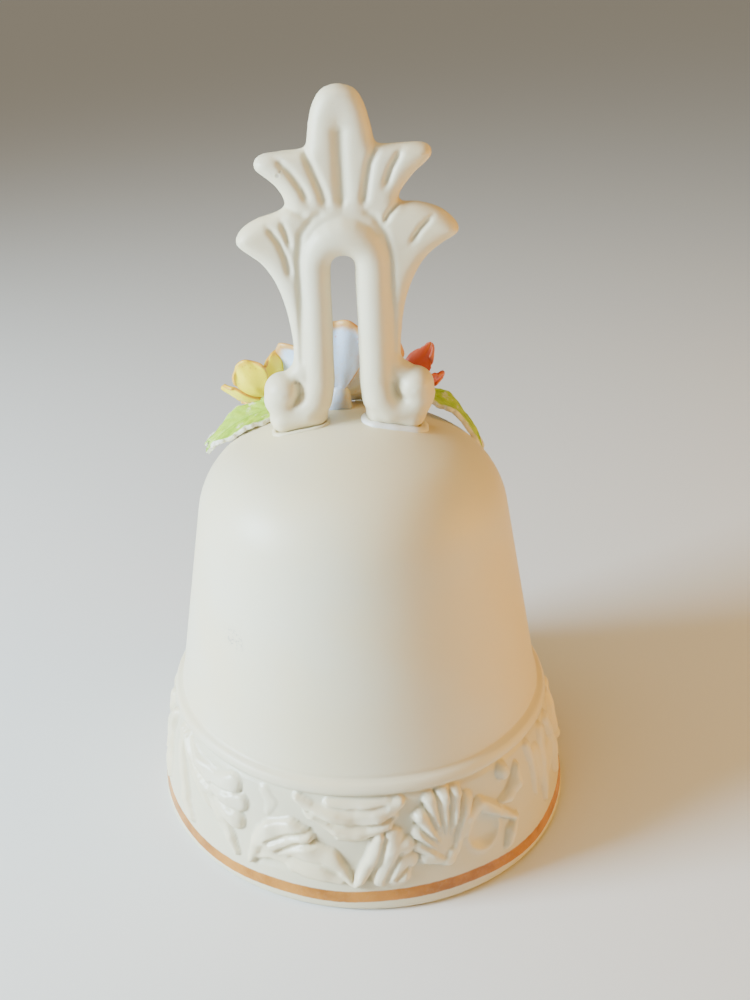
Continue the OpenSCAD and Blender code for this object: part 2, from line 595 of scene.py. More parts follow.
@dataclass(frozen=True)
class PetalTint:
    """Tinted clay of a petal: throat, middle and brushed edge colours."""

    name: str
    middle: Colour
    throat: Colour
    edge: Colour
    dots: Colour
    dot_amount: float = 0.5
    edge_from: float = 0.86
    roughness: float = 0.42

    def make(self) -> bpy.types.Material:
        """Builds the material.

        Returns:
            The material.
        """
        kit = FinishKit(self.name)
        along, across, _ = kit.attribute("sheet")
        wash = (kit.cloud(0.35, 3.0, 0.6) - 0.5) * 0.3
        tone = kit.mix((along + wash).step(0.05, 0.5), self.throat, self.middle)
        uneven = kit.mix(kit.cloud(0.5, 4.0, 0.7, 2.0).step(0.45, 0.8) * 0.35, tone, self.edge)
        rim = (along.at_least(across * 0.96) + wash * 0.35).step(self.edge_from, self.edge_from + 0.09)
        edged = kit.mix(rim, uneven, self.edge)
        near_rim = along.step(0.55, 0.85)
        dots = kit.specks(0.9, 0.26) * near_rim * self.dot_amount
        kit.set(
            Base_Color=kit.mix(dots, edged, self.dots),
            Roughness=self.roughness + (kit.cloud(0.8, 3.0) - 0.5) * 0.2,
            Specular_IOR_Level=0.45,
            Coat_Weight=0.12,
            Coat_Roughness=0.3,
        )
        kit.glow(0.1, (1.0, 0.7, 0.5), 0.8)
        kit.bump(kit.cloud(1.1, 4.0, 0.6) + kit.cloud(0.3, 2.0), 0.07, 0.7)
        return kit.material


@dataclass(frozen=True)
class LeafTint:
    """Brushed green on white clay, thin on the edges and in a few patches, with darker veins."""

    name: str
    green: Colour
    deep: Colour
    clay: Colour = rgb(0.80, 0.77, 0.64)
    cover: float = 1.0

    def make(self) -> bpy.types.Material:
        """Builds the material.

        Returns:
            The material.
        """
        kit = FinishKit(self.name)
        _, across, vein = kit.attribute("sheet")
        mottle = kit.cloud(0.45, 4.0, 0.65, 1.0)
        green = kit.mix(mottle.step(0.35, 0.7), self.green, self.deep)
        bare = across.step(0.88, 1.0) * 0.7 + kit.cloud(0.3, 3.0, 0.7, 4.0).step(0.56, 0.7) * 0.7
        shown = (1.0 - bare.at_most(1.0)) * self.cover
        painted = kit.mix(shown, self.clay, green)
        kit.set(
            Base_Color=kit.mix(vein * 0.45, painted, self.deep),
            Roughness=0.45 + (kit.cloud(0.8, 3.0) - 0.5) * 0.2,
            Specular_IOR_Level=0.45,
        )
        kit.glow(0.08, (0.8, 1.0, 0.5), 0.8)
        kit.bump(kit.cloud(1.2, 4.0, 0.6), 0.08, 0.7)
        return kit.material


@dataclass(frozen=True)
class DrawnWire:
    """Steel wire with draw lines and a little tarnish."""

    name: str = "steel_wire"
    bright: Colour = rgb(0.56, 0.55, 0.53)
    dull: Colour = rgb(0.30, 0.26, 0.21)

    def make(self) -> bpy.types.Material:
        """Builds the material.

        Returns:
            The material.
        """
        kit = FinishKit(self.name)
        tarnish = kit.cloud(0.6, 4.0, 0.65).step(0.45, 0.75)
        kit.set(
            Base_Color=kit.mix(tarnish * 0.7, self.bright, self.dull),
            Metallic=1.0 - tarnish * 0.25,
            Roughness=0.3 + tarnish * 0.25,
        )
        kit.bump(kit.cloud(5.0, 2.0), 0.01, 0.6)
        return kit.material


@dataclass(frozen=True)
class ClearGlaze:
    """Clear glaze over white porcelain, with fine specks and a soft orange peel."""

    name: str = "bead_glaze"
    body: Colour = rgb(0.82, 0.80, 0.74)
    cool: Colour = rgb(0.76, 0.75, 0.70)
    speck: Colour = rgb(0.25, 0.2, 0.15)

    def make(self) -> bpy.types.Material:
        """Builds the material.

        Returns:
            The material.
        """
        kit = FinishKit(self.name)
        tone = kit.mix(kit.cloud(0.12, 2.0).step(0.3, 0.8), self.body, self.cool)
        kit.set(
            Base_Color=kit.mix(kit.specks(0.5, 0.07) * 0.6, tone, self.speck),
            Roughness=0.16 + kit.cloud(0.5, 3.0) * 0.08,
            Coat_Weight=0.8,
            Coat_Roughness=0.06,
        )
        kit.glow(0.1, (1.0, 0.2, 0.1), 1.0)
        kit.bump(kit.cloud(0.5, 2.0), 0.03, 0.5)
        return kit.material


# --------------------------------------------------------------------------------------
# Pieces
# --------------------------------------------------------------------------------------


@dataclass
class Piece:
    """A finished mesh piece: its name, what it rides on and what it stands for."""

    name: str
    body: Body
    slot: str
    materials: list[bpy.types.Material]
    stands_for: list[str] = field(default_factory=list)

    def take(self, bm: bmesh.types.BMesh) -> bpy.types.Object:
        """Turns a bmesh in millimetres into the scene's object.

        Args:
            bm: The shape, which is freed.

        Returns:
            The object, at the origin, in metres.
        """
        bmesh.ops.scale(bm, vec=(MM, MM, MM), verts=bm.verts)
        for face in bm.faces:
            face.smooth = True
        mesh = bpy.data.meshes.new(self.name)
        bm.to_mesh(mesh)
        bm.free()
        return self.adopt(mesh)

    def adopt(self, mesh: bpy.types.Mesh) -> bpy.types.Object:
        """Links a mesh that is already in metres.

        Args:
            mesh: The finished mesh.

        Returns:
            The object.
        """
        made = bpy.data.objects.new(self.name, mesh)
        bpy.context.scene.collection.objects.link(made)
        for material in self.materials:
            mesh.materials.append(material)
        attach(made, self.body.value)
        if self.stands_for:
            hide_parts(*self.stands_for)
        log.info("%s: %d faces, rides on %s", self.name, len(mesh.polygons), self.body.value)
        return made


def applied(made: bpy.types.Object) -> None:
    """Applies an object's modifiers to its mesh.

    Args:
        made: The object, whose mesh is replaced by the evaluated one.
    """
    graph = bpy.context.evaluated_depsgraph_get()
    baked = bpy.data.meshes.new_from_object(made.evaluated_get(graph))
    old = made.data
    made.modifiers.clear()
    made.data = baked
    bpy.data.meshes.remove(old)


def eased(low: float, high: float, value: np.ndarray) -> np.ndarray:
    """Smooth step of many numbers.

    Args:
        low: The value at which it is 0.
        high: The value at which it is 1.
        value: The numbers.

    Returns:
        Their steps.
    """
    share = np.clip((value - low) / (high - low), 0.0, 1.0)
    return share * share * (3.0 - 2.0 * share)


# --------------------------------------------------------------------------------------
# Shell
# --------------------------------------------------------------------------------------


@dataclass(frozen=True)
class Stroke:
    """A rounded ridge of the carving, or a groove when its rise is below 0.

    Each point is degrees round the bell from the middle of the back, height in mm,
    and half the ridge's width in mm.
    """

    points: Spine
    rise: float


@dataclass(frozen=True)
class Dish:
    """A shallow round dish with a raised lip."""

    turn: float
    z: float
    radius: float
    depth: float


@dataclass
class BandCarving:
    """Leaf scrolls of the band, laid out on half of the bell and repeated on the other."""

    arc_mm: float = 0.68
    top_mm: float = 22.6
    foot_mm: float = 5.2
    repeats: int = 2
    relief: float = 1.15
    blend: float = 8.0
    crest: float = 0.42

    def strokes(self) -> list[Stroke]:
        """The scroll: fanned lobes, swags and stems, from left to right.

        Returns:
            The ridges and grooves of one repeat.
        """
        return [
            # low blades that join the lobes of each leaf
            Stroke([(-58, 18.2, 2.4), (-50, 15.4, 3.4), (-44, 15.2, 3.8), (-39, 15.4, 2.8)], 0.8),
            Stroke([(-26, 11.2, 2.8), (-18, 10.6, 3.2), (-10, 9.2, 2.4), (-5.6, 7.6, 1.2)], 0.85),
            Stroke([(-13, 19.2, 1.8), (-3, 18.2, 2.8), (6.6, 19.4, 2.0)], 0.85),
            Stroke([(8.0, 13.2, 2.4), (7.4, 9.4, 3.2), (7.6, 7.6, 2.2)], 0.85),
            Stroke([(60, 17, 2.0), (64, 12, 2.6), (74, 12.4, 2.8), (84, 13.6, 3.4), (90, 12, 3.0)], 0.45),
            # three-lobed leaf, its stem and its veins
            Stroke([(-66, 22.0, 1.0), (-64.5, 15, 1.7), (-59, 8.5, 1.3), (-54, 5.8, 0.6)], 1.0),
            Stroke([(-62, 20.6, 1.3), (-54, 17.8, 2.2), (-46, 17.0, 2.6), (-40.5, 16.0, 2.8)], 1.2),
            Stroke([(-44, 18.2, 1.6), (-38.6, 19.5, 1.9)], 1.3),
            Stroke([(-42, 16.0, 1.8), (-35.4, 16.6, 1.6)], 1.3),
            Stroke([(-42, 14.5, 1.8), (-36.4, 12.8, 1.8)], 1.2),
            Stroke([(-47, 15.5, 1.6), (-42, 11.5, 1.5), (-38, 8.5, 1.0), (-35.2, 6.2, 0.5)], 1.0),
            Stroke([(-61, 21.2, 0.5), (-54, 17.6, 0.7), (-47, 16.4, 0.45)], -0.8),
            Stroke([(-46, 17.2, 0.45), (-38.5, 18.0, 0.4)], -0.6),
            Stroke([(-44, 15.4, 0.45), (-37.6, 14.6, 0.4)], -0.6),
            Stroke([(-48, 14.0, 0.5), (-43.4, 9.6, 0.5)], -0.5),
            # small bud between the leaves
            Stroke([(-28, 20.8, 0.9), (-25.5, 18.8, 1.1), (-26.5, 16.6, 0.5)], 0.3),
            # low leaf that sweeps to the right, over a pocket
            Stroke(
                [(-30.5, 6.4, 0.6), (-29, 10.4, 1.2), (-25, 13.4, 1.9), (-19.5, 14.5, 2.2), (-15, 14.3, 1.3)],
                1.3,
            ),
            Stroke(
                [(-24, 11.2, 2.0), (-15, 11.3, 2.2), (-8.8, 10.4, 1.8), (-5.4, 8.4, 1.0), (-3.2, 6.3, 0.5)],
                1.2,
            ),
            Stroke([(-18, 8.0, 1.5), (-10, 7.8, 1.7), (-5.8, 6.6, 0.8)], 1.0),
            Stroke([(-29, 7.5, 0.7), (-24, 8.9, 0.7), (-19, 8.3, 0.6)], 0.7),
            Stroke([(-25.4, 11.6, 0.45), (-19, 14.1, 0.5), (-13.6, 15.3, 0.4)], -0.75),
            Stroke([(-22.4, 10.3, 0.45), (-17, 12.5, 0.55), (-12.6, 13.3, 0.4)], -0.75),
            Stroke([(-19, 9.6, 0.4), (-11, 9.4, 0.5), (-6.4, 8.0, 0.4)], -0.5),
            Stroke([(-28.4, 6.6, 0.6), (-22, 7.3, 0.7), (-17, 6.6, 0.5)], -0.35),
            # swag of two crescents under the rib
            Stroke(
                [(-18, 21.4, 0.6), (-12.5, 19.4, 1.3), (-4, 18.5, 1.7), (4, 19, 1.6), (10.2, 21.2, 0.9)], 1.3
            ),
            Stroke([(-14, 18.3, 0.5), (-7, 16.4, 1.1), (-1, 16.0, 1.4), (6.6, 17.4, 0.9)], 1.15),
            Stroke([(-9, 21.0, 0.9), (0, 20.6, 1.2), (7, 21.3, 0.8)], 0.9),
            Stroke([(-14.4, 19.2, 0.35), (-7, 17.5, 0.5), (1, 17.2, 0.5), (7.8, 18.6, 0.4)], -0.7),
            Stroke([(-13, 20.7, 0.4), (-4, 20.0, 0.5), (6.5, 20.7, 0.4)], -0.5),
            Stroke([(-6.6, 14.7, 0.4), (-3, 14.9, 0.8), (1.4, 14.6, 0.4)], 0.6),
            # long leaf that falls to the left, with lobes on its right
            Stroke([(4.4, 15.2, 0.9), (2.4, 10.8, 1.2), (-0.8, 7.4, 0.9), (-2.4, 5.9, 0.4)], 1.5),
            Stroke([(8.0, 15.0, 1.6), (6.4, 11.0, 2.3), (4.4, 7.2, 1.6)], 1.2),
            Stroke([(8.0, 12.4, 1.6), (11.2, 13.0, 1.5)], 1.2),
            Stroke([(8.0, 9.8, 1.6), (12.0, 10.2, 1.4)], 1.1),
            Stroke([(7.0, 7.6, 1.4), (10.0, 7.3, 1.2)], 1.0),
            Stroke([(9.6, 12.0, 0.4), (7.4, 9.3, 0.5), (5.4, 6.6, 0.4)], -0.7),
            Stroke([(11.4, 9.0, 0.4), (8.4, 7.2, 0.4)], -0.6),
            Stroke([(6.0, 14.8, 0.4), (4.2, 10.4, 0.5), (1.6, 6.8, 0.4)], -0.75),
            # scallop fan
            Stroke([(22.0, 18.6, 2.8), (22.6, 14.0, 3.5), (22.6, 10.8, 2.5), (22.4, 9.0, 1.5)], 1.15),
            Stroke([(18.2, 17.0, 2.4), (19.0, 12.2, 2.6)], 1.15),
            Stroke([(26.8, 17.8, 2.1), (25.4, 13.4, 2.0)], 1.15),
            Stroke([(18.6, 20.6, 1.3), (20.2, 16.0, 1.2)], 1.4),
            Stroke([(22.6, 21.4, 1.3), (22.4, 16.0, 1.2)], 1.45),
            Stroke([(26.2, 20.8, 1.2), (24.6, 16.0, 1.1)], 1.45),
            Stroke([(29.4, 18.8, 1.2), (26.6, 15.0, 1.0)], 1.35),
            Stroke([(15.6, 18.0, 1.3), (18.4, 14.4, 1.2)], 1.35),
            Stroke([(14.8, 15.0, 1.2), (18.0, 12.6, 1.1)], 1.25),
            Stroke([(15.0, 12.2, 1.2), (18.6, 10.8, 1.0)], 1.2),
            Stroke([(16.4, 9.8, 1.1), (20.0, 9.2, 1.0)], 1.1),
            Stroke([(16.8, 20.2, 0.4), (19.6, 15.0, 0.5), (22.0, 10.2, 0.4)], -0.9),
            Stroke([(20.6, 21.6, 0.4), (21.2, 16.0, 0.5), (22.4, 10.6, 0.4)], -0.9),
            Stroke([(24.4, 21.4, 0.4), (23.6, 16.0, 0.5), (22.8, 10.8, 0.4)], -0.9),
            Stroke([(28.0, 20.2, 0.4), (25.8, 15.4, 0.5), (23.4, 10.8, 0.4)], -0.9),
            Stroke([(14.4, 16.8, 0.4), (18.2, 13.4, 0.5), (21.6, 10.0, 0.4)], -0.8),
            Stroke([(14.4, 13.6, 0.4), (18.2, 11.6, 0.45), (21.4, 9.6, 0.4)], -0.7),
            # two arched leaves over the dish, and a spike
            Stroke([(27.6, 12.6, 0.7), (29.6, 15.4, 1.1), (33.4, 16.7, 1.1)], 1.3),
            Stroke([(33.4, 16.7, 1.1), (38.6, 14.0, 1.1), (44.8, 10.4, 0.5)], 1.3),
            Stroke([(46.0, 10.0, 0.5), (43.2, 8.0, 1.0), (40.4, 5.6, 0.4)], 1.2),
            # bead and hooked leaf
            Stroke([(43.0, 20.6, 1.2), (43.2, 19.9, 1.2)], 1.3),
            Stroke([(49.0, 19.4, 0.6), (47.6, 16.6, 1.3), (44.0, 14.9, 1.2), (40.6, 15.0, 0.4)], 1.2),
            # tall ribs and the leaves at the side
            Stroke([(56, 20.6, 1.0), (57.6, 15.6, 0.9), (57, 10, 0.4)], 0.8),
            Stroke([(66, 20.0, 1.2), (64.4, 14.0, 1.4), (61.5, 7.0, 0.6)], 0.9),
            Stroke([(73, 19.4, 1.4), (76, 13.5, 1.9), (73, 8.0, 0.9)], 1.1),
            Stroke([(84, 20.0, 1.6), (82, 15.5, 2.2), (86, 10.0, 1.6), (94, 7.2, 0.6)], 1.2),
            Stroke([(92, 18.6, 1.9), (88.6, 14.0, 1.9), (90, 9.0, 1.0)], 1.2),
            Stroke([(104, 20.0, 1.2), (100, 15.5, 2.0), (102, 9.6, 1.5), (106, 6.2, 0.5)], 1.2),
            Stroke([(84.6, 19.4, 0.4), (83.4, 14.6, 0.5), (87, 10.0, 0.4)], -0.7),
            Stroke([(91.6, 18.0, 0.4), (88.6, 13.4, 0.5)], -0.7),
            Stroke([(103.6, 19.2, 0.4), (100.6, 14.6, 0.5), (102.4, 10.2, 0.4)], -0.7),
        ]

    def dishes(self) -> list[Dish]:
        """The round hollow between the fan and the spike.

        Returns:
            The hollows of one repeat.
        """
        # The round dish between the fan and the spike.
        return [Dish(34.0, 11.0, 3.4, 0.8)]

    def height(self, turn: np.ndarray, z: np.ndarray) -> np.ndarray:
        """Height of the carving.

        Args:
            turn: Degrees round the bell from the middle of the back.
            z: Heights in mm.

        Returns:
            Rise above the plain band, in mm.
        """
        period = 360.0 / self.repeats
        x = (np.mod(turn + 70.0, period) - 70.0) * self.arc_mm
        ridges = np.zeros_like(x)
        grooves = np.zeros_like(x)
        for stroke in self.strokes():
            for wrap in (0.0, -period):
                self.cut(stroke, wrap, x, z, ridges if stroke.rise > 0 else grooves)
        rise = ridges ** (1.0 / self.blend) - grooves ** (1.0 / self.blend)
        for dish in self.dishes():
            away = np.hypot(x - dish.turn * self.arc_mm, z - dish.z) / dish.radius
            inside = np.clip(1.0 - away * away, 0.0, None)
            lip = np.exp(-(((away - 1.08) / 0.16) ** 2))
            rise = np.where(away < 1.0, np.minimum(rise, 0.15), rise) - dish.depth * inside + 0.25 * lip
        foot = eased(self.foot_mm - 0.6, self.foot_mm + 1.0, z)
        top = eased(self.top_mm + 0.4, self.top_mm - 1.2, z)
        waver = 1.0 + 0.13 * np.sin(x * 0.83 + z * 0.31) + 0.10 * np.sin(z * 1.27 - x * 0.39)
        return rise * foot * top * waver

    def cut(self, stroke: Stroke, wrap: float, x: np.ndarray, z: np.ndarray, target: np.ndarray) -> None:
        """Adds one stroke to the running ridges or grooves.

        Args:
            stroke: The ridge or groove.
            wrap: Degrees that it is moved by, so that it crosses the join.
            x: Distances round the band in mm.
            z: Heights in mm.
            target: The ridges or the grooves so far, changed in place.
        """
        spots = [((p[0] + wrap) * self.arc_mm, p[1], p[2]) for p in stroke.points]
        for (ax, az, aw), (bx, bz, bw) in zip(spots, spots[1:]):
            dx, dz = bx - ax, bz - az
            share = np.clip(((x - ax) * dx + (z - az) * dz) / (dx * dx + dz * dz), 0.0, 1.0)
            away = np.hypot(x - ax - share * dx, z - az - share * dz)
            wide = aw + (bw - aw) * share
            dome = np.clip(1.0 - (away / (wide * 1.12)) ** 2, 0.0, None) ** self.crest
            bump = abs(stroke.rise) * self.relief * dome * (0.6 + 0.4 * np.minimum(1.0, wide / 1.4))
            target += bump**self.blend


@dataclass
class BellShell:
    """Slip-cast shell, spun from its section, with a carved band above the painted rim."""

    rim_r: float = field(default_factory=lambda: NodeBox.of("bell_shell").high.x)
    wall_t: float = 3.0
    waist_r: float = 35.57
    flare_z: float = 27.3
    wall_lean: float = 9.54
    shoulder_r: float = 16.66
    shoulder_z: float = 60.37
    crown_r: float = 50.68
    rib_z: float = 23.85
    rib_half: float = 1.25
    rib_rise: float = 0.95
    rim_round: float = 0.5
    steps: int = 690
    carving: BandCarving = field(default_factory=BandCarving)

    def outer_radius(self, z: float) -> float:
        """Radius of the plain outside at a height below the shoulder.

        Args:
            z: Height in mm.

        Returns:
            The radius in mm.
        """
        heights = [0.0, 1.2, 3.9, 9.4, 15.7, 21.8, self.flare_z]
        insets = [self.rim_round, 0.0, 0.4, 2.0, 3.1, 4.4, self.rim_r - self.waist_r]
        if z >= self.flare_z:
            return self.waist_r - (z - self.flare_z) * math.tan(math.radians(self.wall_lean))
        return self.rim_r - float(np.interp(z, heights, insets))

    def section(self, inset: float, rows: Iterable[float], arc_steps: int) -> list[tuple[float, float]]:
        """Half section of the bell from the foot to the crown.

        Args:
            inset: Distance inside the outer surface.
            rows: Heights of the rows below the shoulder.
            arc_steps: Rows on the shoulder, and on the crown.

        Returns:
            Radius and height of each row, ending on the axis.
        """
        lean = math.radians(self.wall_lean)
        drop = (self.flare_z - self.shoulder_z) * math.tan(lean)
        sx = self.waist_r + drop - self.shoulder_r / math.cos(lean)
        cz = self.shoulder_z - math.sqrt((self.crown_r - self.shoulder_r) ** 2 - sx**2)
        meet = math.pi / 2 - math.asin(sx / (self.crown_r - self.shoulder_r))
        points = [(self.outer_radius(z) - inset, z) for z in rows]
        for i in range(arc_steps + 1):
            a = lean + (meet - lean) * i / arc_steps
            r = self.shoulder_r - inset
            points.append((sx + r * math.cos(a), self.shoulder_z + r * math.sin(a)))
        for i in range(1, arc_steps + 1):
            a = meet + (math.pi / 2 - meet) * i / arc_steps
            r = self.crown_r - inset
            points.append((max(0.0, r * math.cos(a)), cz + r * math.sin(a)))
        return points

    def profile(self) -> list[tuple[float, float]]:
        """Half section, from the crown's inside round the rim to its outside.

        Returns:
            Radius and height of each row.
        """
        inner_rows = [1.0] + list(np.linspace(4.0, self.shoulder_z, 9))
        band_rows = list(np.linspace(0.7, 26.5, 84))
        wall_rows = list(np.linspace(28.0, self.shoulder_z, 10))
        inner = self.section(self.wall_t, inner_rows, 6)
        outer = self.section(0.0, band_rows + wall_rows, 10)
        lip = self.rim_r - self.rim_round
        root = lip - self.wall_t + self.rim_round
        rim = [(root, 0.2), (root + 0.5, 0.0), (lip - 0.55, 0.0), (lip - 0.1, 0.22)]
        return list(reversed(inner)) + rim + outer

    def build(self, material: bpy.types.Material) -> bpy.types.Object:
        """Spins and carves the shell.

        Args:
            material: The shell's finish.

        Returns:
            The shell.
        """
        bm = bmesh.new()
        ring = [bm.verts.new((0.0, -r, z)) for r, z in self.profile()]
        edges = [bm.edges.new(pair) for pair in zip(ring, ring[1:])]
        bmesh.ops.spin(
            bm, geom=ring + edges, cent=(0, 0, 0), axis=(0, 0, 1), dvec=(0, 0, 0),
            angle=math.tau, steps=self.steps, use_merge=True, use_duplicate=False,
        )
        bmesh.ops.remove_doubles(bm, verts=bm.verts, dist=0.004)
        bmesh.ops.recalc_face_normals(bm, faces=bm.faces)
        raised = self.carve(bm)
        piece = Piece("shell_body", Body.BELL, "bisque_shell", [material], ["bell_shell"])
        made = piece.take(bm)
        paint = made.data.color_attributes.new("carving", "FLOAT_COLOR", "POINT")
        paint.data.foreach_set("color", raised.ravel())
        return made

    def carve(self, bm: bmesh.types.BMesh) -> np.ndarray:
        """Moves the outer surface out by the carving and the rib.

        Args:
            bm: The spun shell, in mm.

        Returns:
            For each vertex the carving's height, 1 on the outside, 0 and 1.
        """
        bm.verts.ensure_lookup_table()
        where = np.array([v.co[:] for v in bm.verts])
        radius = np.hypot(where[:, 0], where[:, 1])
        turn = np.degrees(np.arctan2(where[:, 0], -where[:, 1]))
        z = where[:, 2]
        plain = np.array([self.outer_radius(min(h, self.shoulder_z)) for h in z])
        outside = (radius > plain - self.wall_t * 0.5) | (z > self.shoulder_z + 14.0)
        on_band = outside & (z < 27.0)
        rise = np.zeros(len(z))
        rise[on_band] = self.carving.height(turn[on_band], z[on_band])
        sway = 0.12 * np.sin(np.radians(turn * 3.0)) + 0.08 * np.sin(np.radians(turn * 7.0 + 40.0))
        off = z - self.rib_z - sway
        rib = np.sqrt(np.clip(1.0 - (off / self.rib_half) ** 2, 0.0, None)) * self.rib_rise
        under = np.exp(-(((off + 1.75) / 0.55) ** 2)) * 0.32
        over = np.exp(-(((off - 1.55) / 0.4) ** 2)) * 0.2
        move = np.where(on_band, rise + rib - under - over, 0.0)
        scale = (radius + move) / np.maximum(radius, 1e-6)
        for vert, s in zip(bm.verts, scale):
            vert.co.x *= s
            vert.co.y *= s
        data = np.ones((len(z), 4))
        data[:, 0] = np.clip(rise / 1.2, 0.0, 1.0)
        data[:, 1] = outside.astype(float)
        data[:, 2] = 0.0
        return data


# --------------------------------------------------------------------------------------
# Handle
# --------------------------------------------------------------------------------------


@dataclass(frozen=True)
class Groove:
    """A tooled groove of the handle: points across and up, its half width and depth, in mm."""

    points: Sequence[tuple[float, float]]
    width: float
    depth: float


def smooth_loop(points: Sequence[tuple[float, float]], parts: int) -> np.ndarray:
    """A closed smooth curve through points.

    Args:
        points: The points in order.
        parts: Steps between each two of them.

    Returns:
        The curve's points, one row each.
    """
    knots = np.array(points)
    before, after, later = (np.roll(knots, k, axis=0) for k in (1, -1, -2))
    rows = []
    for t in np.linspace(0.0, 1.0, parts, endpoint=False):
        rows.append(
            0.5 * (2 * knots + (after - before) * t + (2 * before - 5 * knots + 4 * after - later) * t * t
                   + (3 * knots - before - 3 * after + later) * t**3)
        )
    return np.stack(rows, axis=1).reshape(-1, 2)


def nearest_on(loop: np.ndarray, spots: np.ndarray, closed: bool = True) -> tuple[np.ndarray, np.ndarray]:
    """Distances from spots to a run of segments.

    Args:
        loop: The run's points.
        spots: The places to measure from.
        closed: Whether the last point joins the first.

    Returns:
        Each spot's distance, and its nearest point.
    """
    ends = np.roll(loop, -1, axis=0) if closed else loop[1:]
    best = np.full(len(spots), np.inf)
    near = np.zeros_like(spots)
    for start, end in zip(loop, ends):
        run = end - start
        share = np.clip(((spots - start) @ run) / max(run @ run, 1e-9), 0.0, 1.0)
        spot = start + share[:, None] * run
        away = np.hypot(*(spots - spot).T)
        closer = away < best
        best[closer] = away[closer]
        near[closer] = spot[closer]
    return best, near


def inside_of(loop: np.ndarray, spots: np.ndarray) -> np.ndarray:
    """Whether spots are inside a closed loop.

    Args:
        loop: The loop's points.
        spots: The places to test.

    Returns:
        True for each spot inside.
    """
    odd = np.zeros(len(spots), dtype=bool)
    for start, end in zip(loop, np.roll(loop, -1, axis=0)):
        if start[1] == end[1]:
            continue
        spans = (start[1] > spots[:, 1]) != (end[1] > spots[:, 1])
        cross = start[0] + (spots[:, 1] - start[1]) * (end[0] - start[0]) / (end[1] - start[1])
        odd ^= spans & (spots[:, 0] < cross)
    return odd


